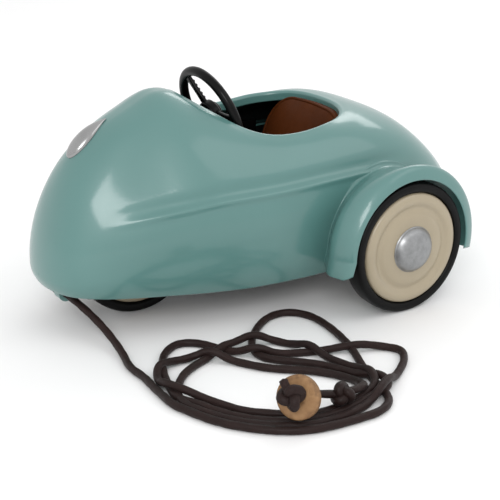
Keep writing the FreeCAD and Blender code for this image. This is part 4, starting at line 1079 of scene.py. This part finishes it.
def back_mesh(name):
    ol = arch_line(22.4, 13.5, 26.8)
    cen = np.array([0.0, 12.2])
    k = len(ol)
    rows, T = [], 6.0
    # rear face centre, rear edge, sides, front edge, swelling front face
    prof = [(0.0, -0.0), (0.5, 0.0), (0.93, 0.0), (0.975, 0.25), (1.0, 0.9), (1.008, 2.2), (1.0, 3.6), (0.985, 4.5), (0.96, 5.2), (0.925, 5.75)]
    prof += [(0.88, 6.05), (0.80, 6.35), (0.68, 6.7), (0.52, 7.0), (0.34, 7.2), (0.16, 7.3), (0.0, 7.32)]
    V_, F_ = [], []
    for sc, h in prof:
        for q in ol:
            e = q - cen
            V_.append(b0 + bd * (cen[1] + e[1] * sc) + np.array([0, cen[0] + e[0] * sc, 0]) + bn * h)
    for a in range(len(prof) - 1):
        for b in range(k):
            b2 = (b + 1) % k
            F_.append([a * k + b, a * k + b2, (a + 1) * k + b2, (a + 1) * k + b])
    V_ = np.array(V_)
    ob = link_mesh(name, M(V_), F_)
    tidy(ob)
    return ob


bk = back_mesh("seat_back_soft")
ol = arch_line(22.4 * 0.955, 13.0, 26.8 * 0.965)
X = b0 + ol[:, 1:2] * bd + ol[:, :1] * np.array([0, 1.0, 0]) + bn * 5.35 + bd * 0.35
X = np.vstack([X, X[:1]])
path, s = resample(M(X), 0.0006)
bp_ = tube("seat_back_piping", path, 0.00055, 10)
finish_piece(bk, LEATHER, "chassis", "leather", "seat_backrest")
finish_piece(bp_, LEATHER, "chassis", "leather")


# ------------------------------------------------------------------ toggle and knots
TC = np.array([77.7, 98.1, 9.1])
TN = unit(np.array([0.79, 0.51, 0.33]))
tp = [(1.35, 1.0), (1.5, 1.25), (2.2, 1.3), (5.6, 1.3), (6.15, 1.15), (6.38, 0.75), (6.4, 0.0), (6.38, -0.75), (6.15, -1.15), (5.6, -1.3), (2.2, -1.3), (1.5, -1.25), (1.35, -1.0)]
dense = []
for a, b in zip(tp[:-1], tp[1:]):
    for q in range(4):
        dense.append((a[0] + (b[0] - a[0]) * q / 4, a[1] + (b[1] - a[1]) * q / 4))
dense.append(tp[-1])
tog = lathe("toggle_wood", dense, TC, TN, 96, closed=True)
# burnt edge and centre, kept as a value on the mesh
co = np.array([v.co for v in tog.data.vertices], float) * 1000 + np.array([OX, 0, 0]) - TC
rad = np.linalg.norm(co - (co @ TN)[:, None] * TN, axis=1)
ang = np.arctan2(co @ np.cross(TN, [0, 0, 1.0]), co[:, 2])
edge = sstep(rad + 0.35 * np.sin(5 * ang) + 0.25 * np.sin(11 * ang + 1), 5.0, 6.3)
mid = 1 - sstep(rad + 0.3 * np.sin(4 * ang), 1.6, 3.0)
at = tog.data.attributes.new("burn", "FLOAT", "POINT")
at.data.foreach_set("value", np.clip(np.maximum(edge * 0.55, mid * 0.75), 0, 1).astype(np.float32))
finish_piece(tog, WOOD, "chassis", "wood", "toggle_disc")


def knot(name, centre, axis, size, r, turn=0.0):
    """Overhand knot drawn up tight."""
    ax = unit(np.array(axis, float))
    ref = np.array([0, 0, 1.0]) if abs(ax[2]) < 0.9 else np.array([1.0, 0, 0])
    u = unit(np.cross(ref, ax))
    w = np.cross(ax, u)
    t = np.linspace(0, 2 * math.pi, 241)
    k = np.stack([np.sin(t) + 2 * np.sin(2 * t), np.cos(t) - 2 * np.cos(2 * t), -np.sin(3 * t)], -1)
    k[:, :2] *= size / 3.0
    k[:, 2] *= size * 0.62
    c0, s0 = math.cos(turn), math.sin(turn)
    k = np.stack([k[:, 0] * c0 - k[:, 1] * s0, k[:, 0] * s0 + k[:, 1] * c0, k[:, 2]], -1)
    p = np.array(centre) + k[:, :1] * u + k[:, 1:2] * w + k[:, 2:] * ax
    p, s = resample(M(p), 0.0004)
    ob = tube(name, p, r / 1000.0, 18, braid, s)
    return ob


k1 = knot("toggle_knot_tied", TC + TN * 3.3 + np.array([0.6, -0.6, 0.4]), TN, 2.75, 1.5, 0.4)
finish_piece(k1, CORD, "chassis", "cord", "toggle_knot")
k2 = knot("stop_knot_tied", (61.9, 97.6, 5.3), (0.5, 0.75, 0.42), 2.35, 1.5, 1.2)
finish_piece(k2, CORD, "chassis", "cord", "stop_knot")
k3 = knot("lug_knot_tied", (101.3, -4.9, 11.9), (0, 1, 0), 1.25, 1.15, 0.0)
finish_piece(k3, CORD, "chassis", "cord", "lug_knot")
finish_piece(cord, CORD, "chassis", "cord", "pull_cord_lead", "pull_cord_coil")

# ------------------------------------------------------------------ floor, light
fl = link_mesh("floor", [(-6, -6, 0), (6, -6, 0), (6, 6, 0), (-6, 6, 0)], [[0, 1, 2, 3]], smooth=False)
fm = Mat("floor_white")
fm.set(Roughness=0.7, **{"Specular_IOR_Level": 0.2})
fm.col(fm.ramp(fm.noise(4.0, 2.0), [(0.3, lin(236, 236, 236)), (0.7, lin(240, 240, 240))]))
fl.data.materials.append(fm.m)

world = bpy.data.worlds.new("world")
scene.world = world
world.use_nodes = True
world.node_tree.nodes["Background"].inputs["Color"].default_value = (1.0, 1.0, 1.0, 1)
world.node_tree.nodes["Background"].inputs["Strength"].default_value = 1.0
scene.view_settings.view_transform = "Standard"


def softbox(name, pos, aim, w, h, power, roll=0.0):
    ld = bpy.data.lights.new(name, "AREA")
    ld.shape = "RECTANGLE"
    ld.size, ld.size_y = w, h
    ld.energy = power
    ob = bpy.data.objects.new(name, ld)
    scene.collection.objects.link(ob)
    ob.location = Vector(pos)
    q = (Vector(aim) - Vector(pos)).to_track_quat("-Z", "Y")
    ob.rotation_euler = (q.to_matrix() @ Matrix.Rotation(roll, 3, "Z")).to_euler()
    return ob


softbox("key", (0.504, 0.645, 0.515), (0.063, 0.017, 0.045), 0.36, 0.36, 3.0, math.radians(38))
softbox("side", (-0.40, 0.56, 0.68), (0.0, 0.03, 0.055), 0.62, 0.42, 0.9)
softbox("back", (-0.54, -0.28, 0.54), (0.0, 0.0, 0.06), 0.50, 0.16, 1.0)
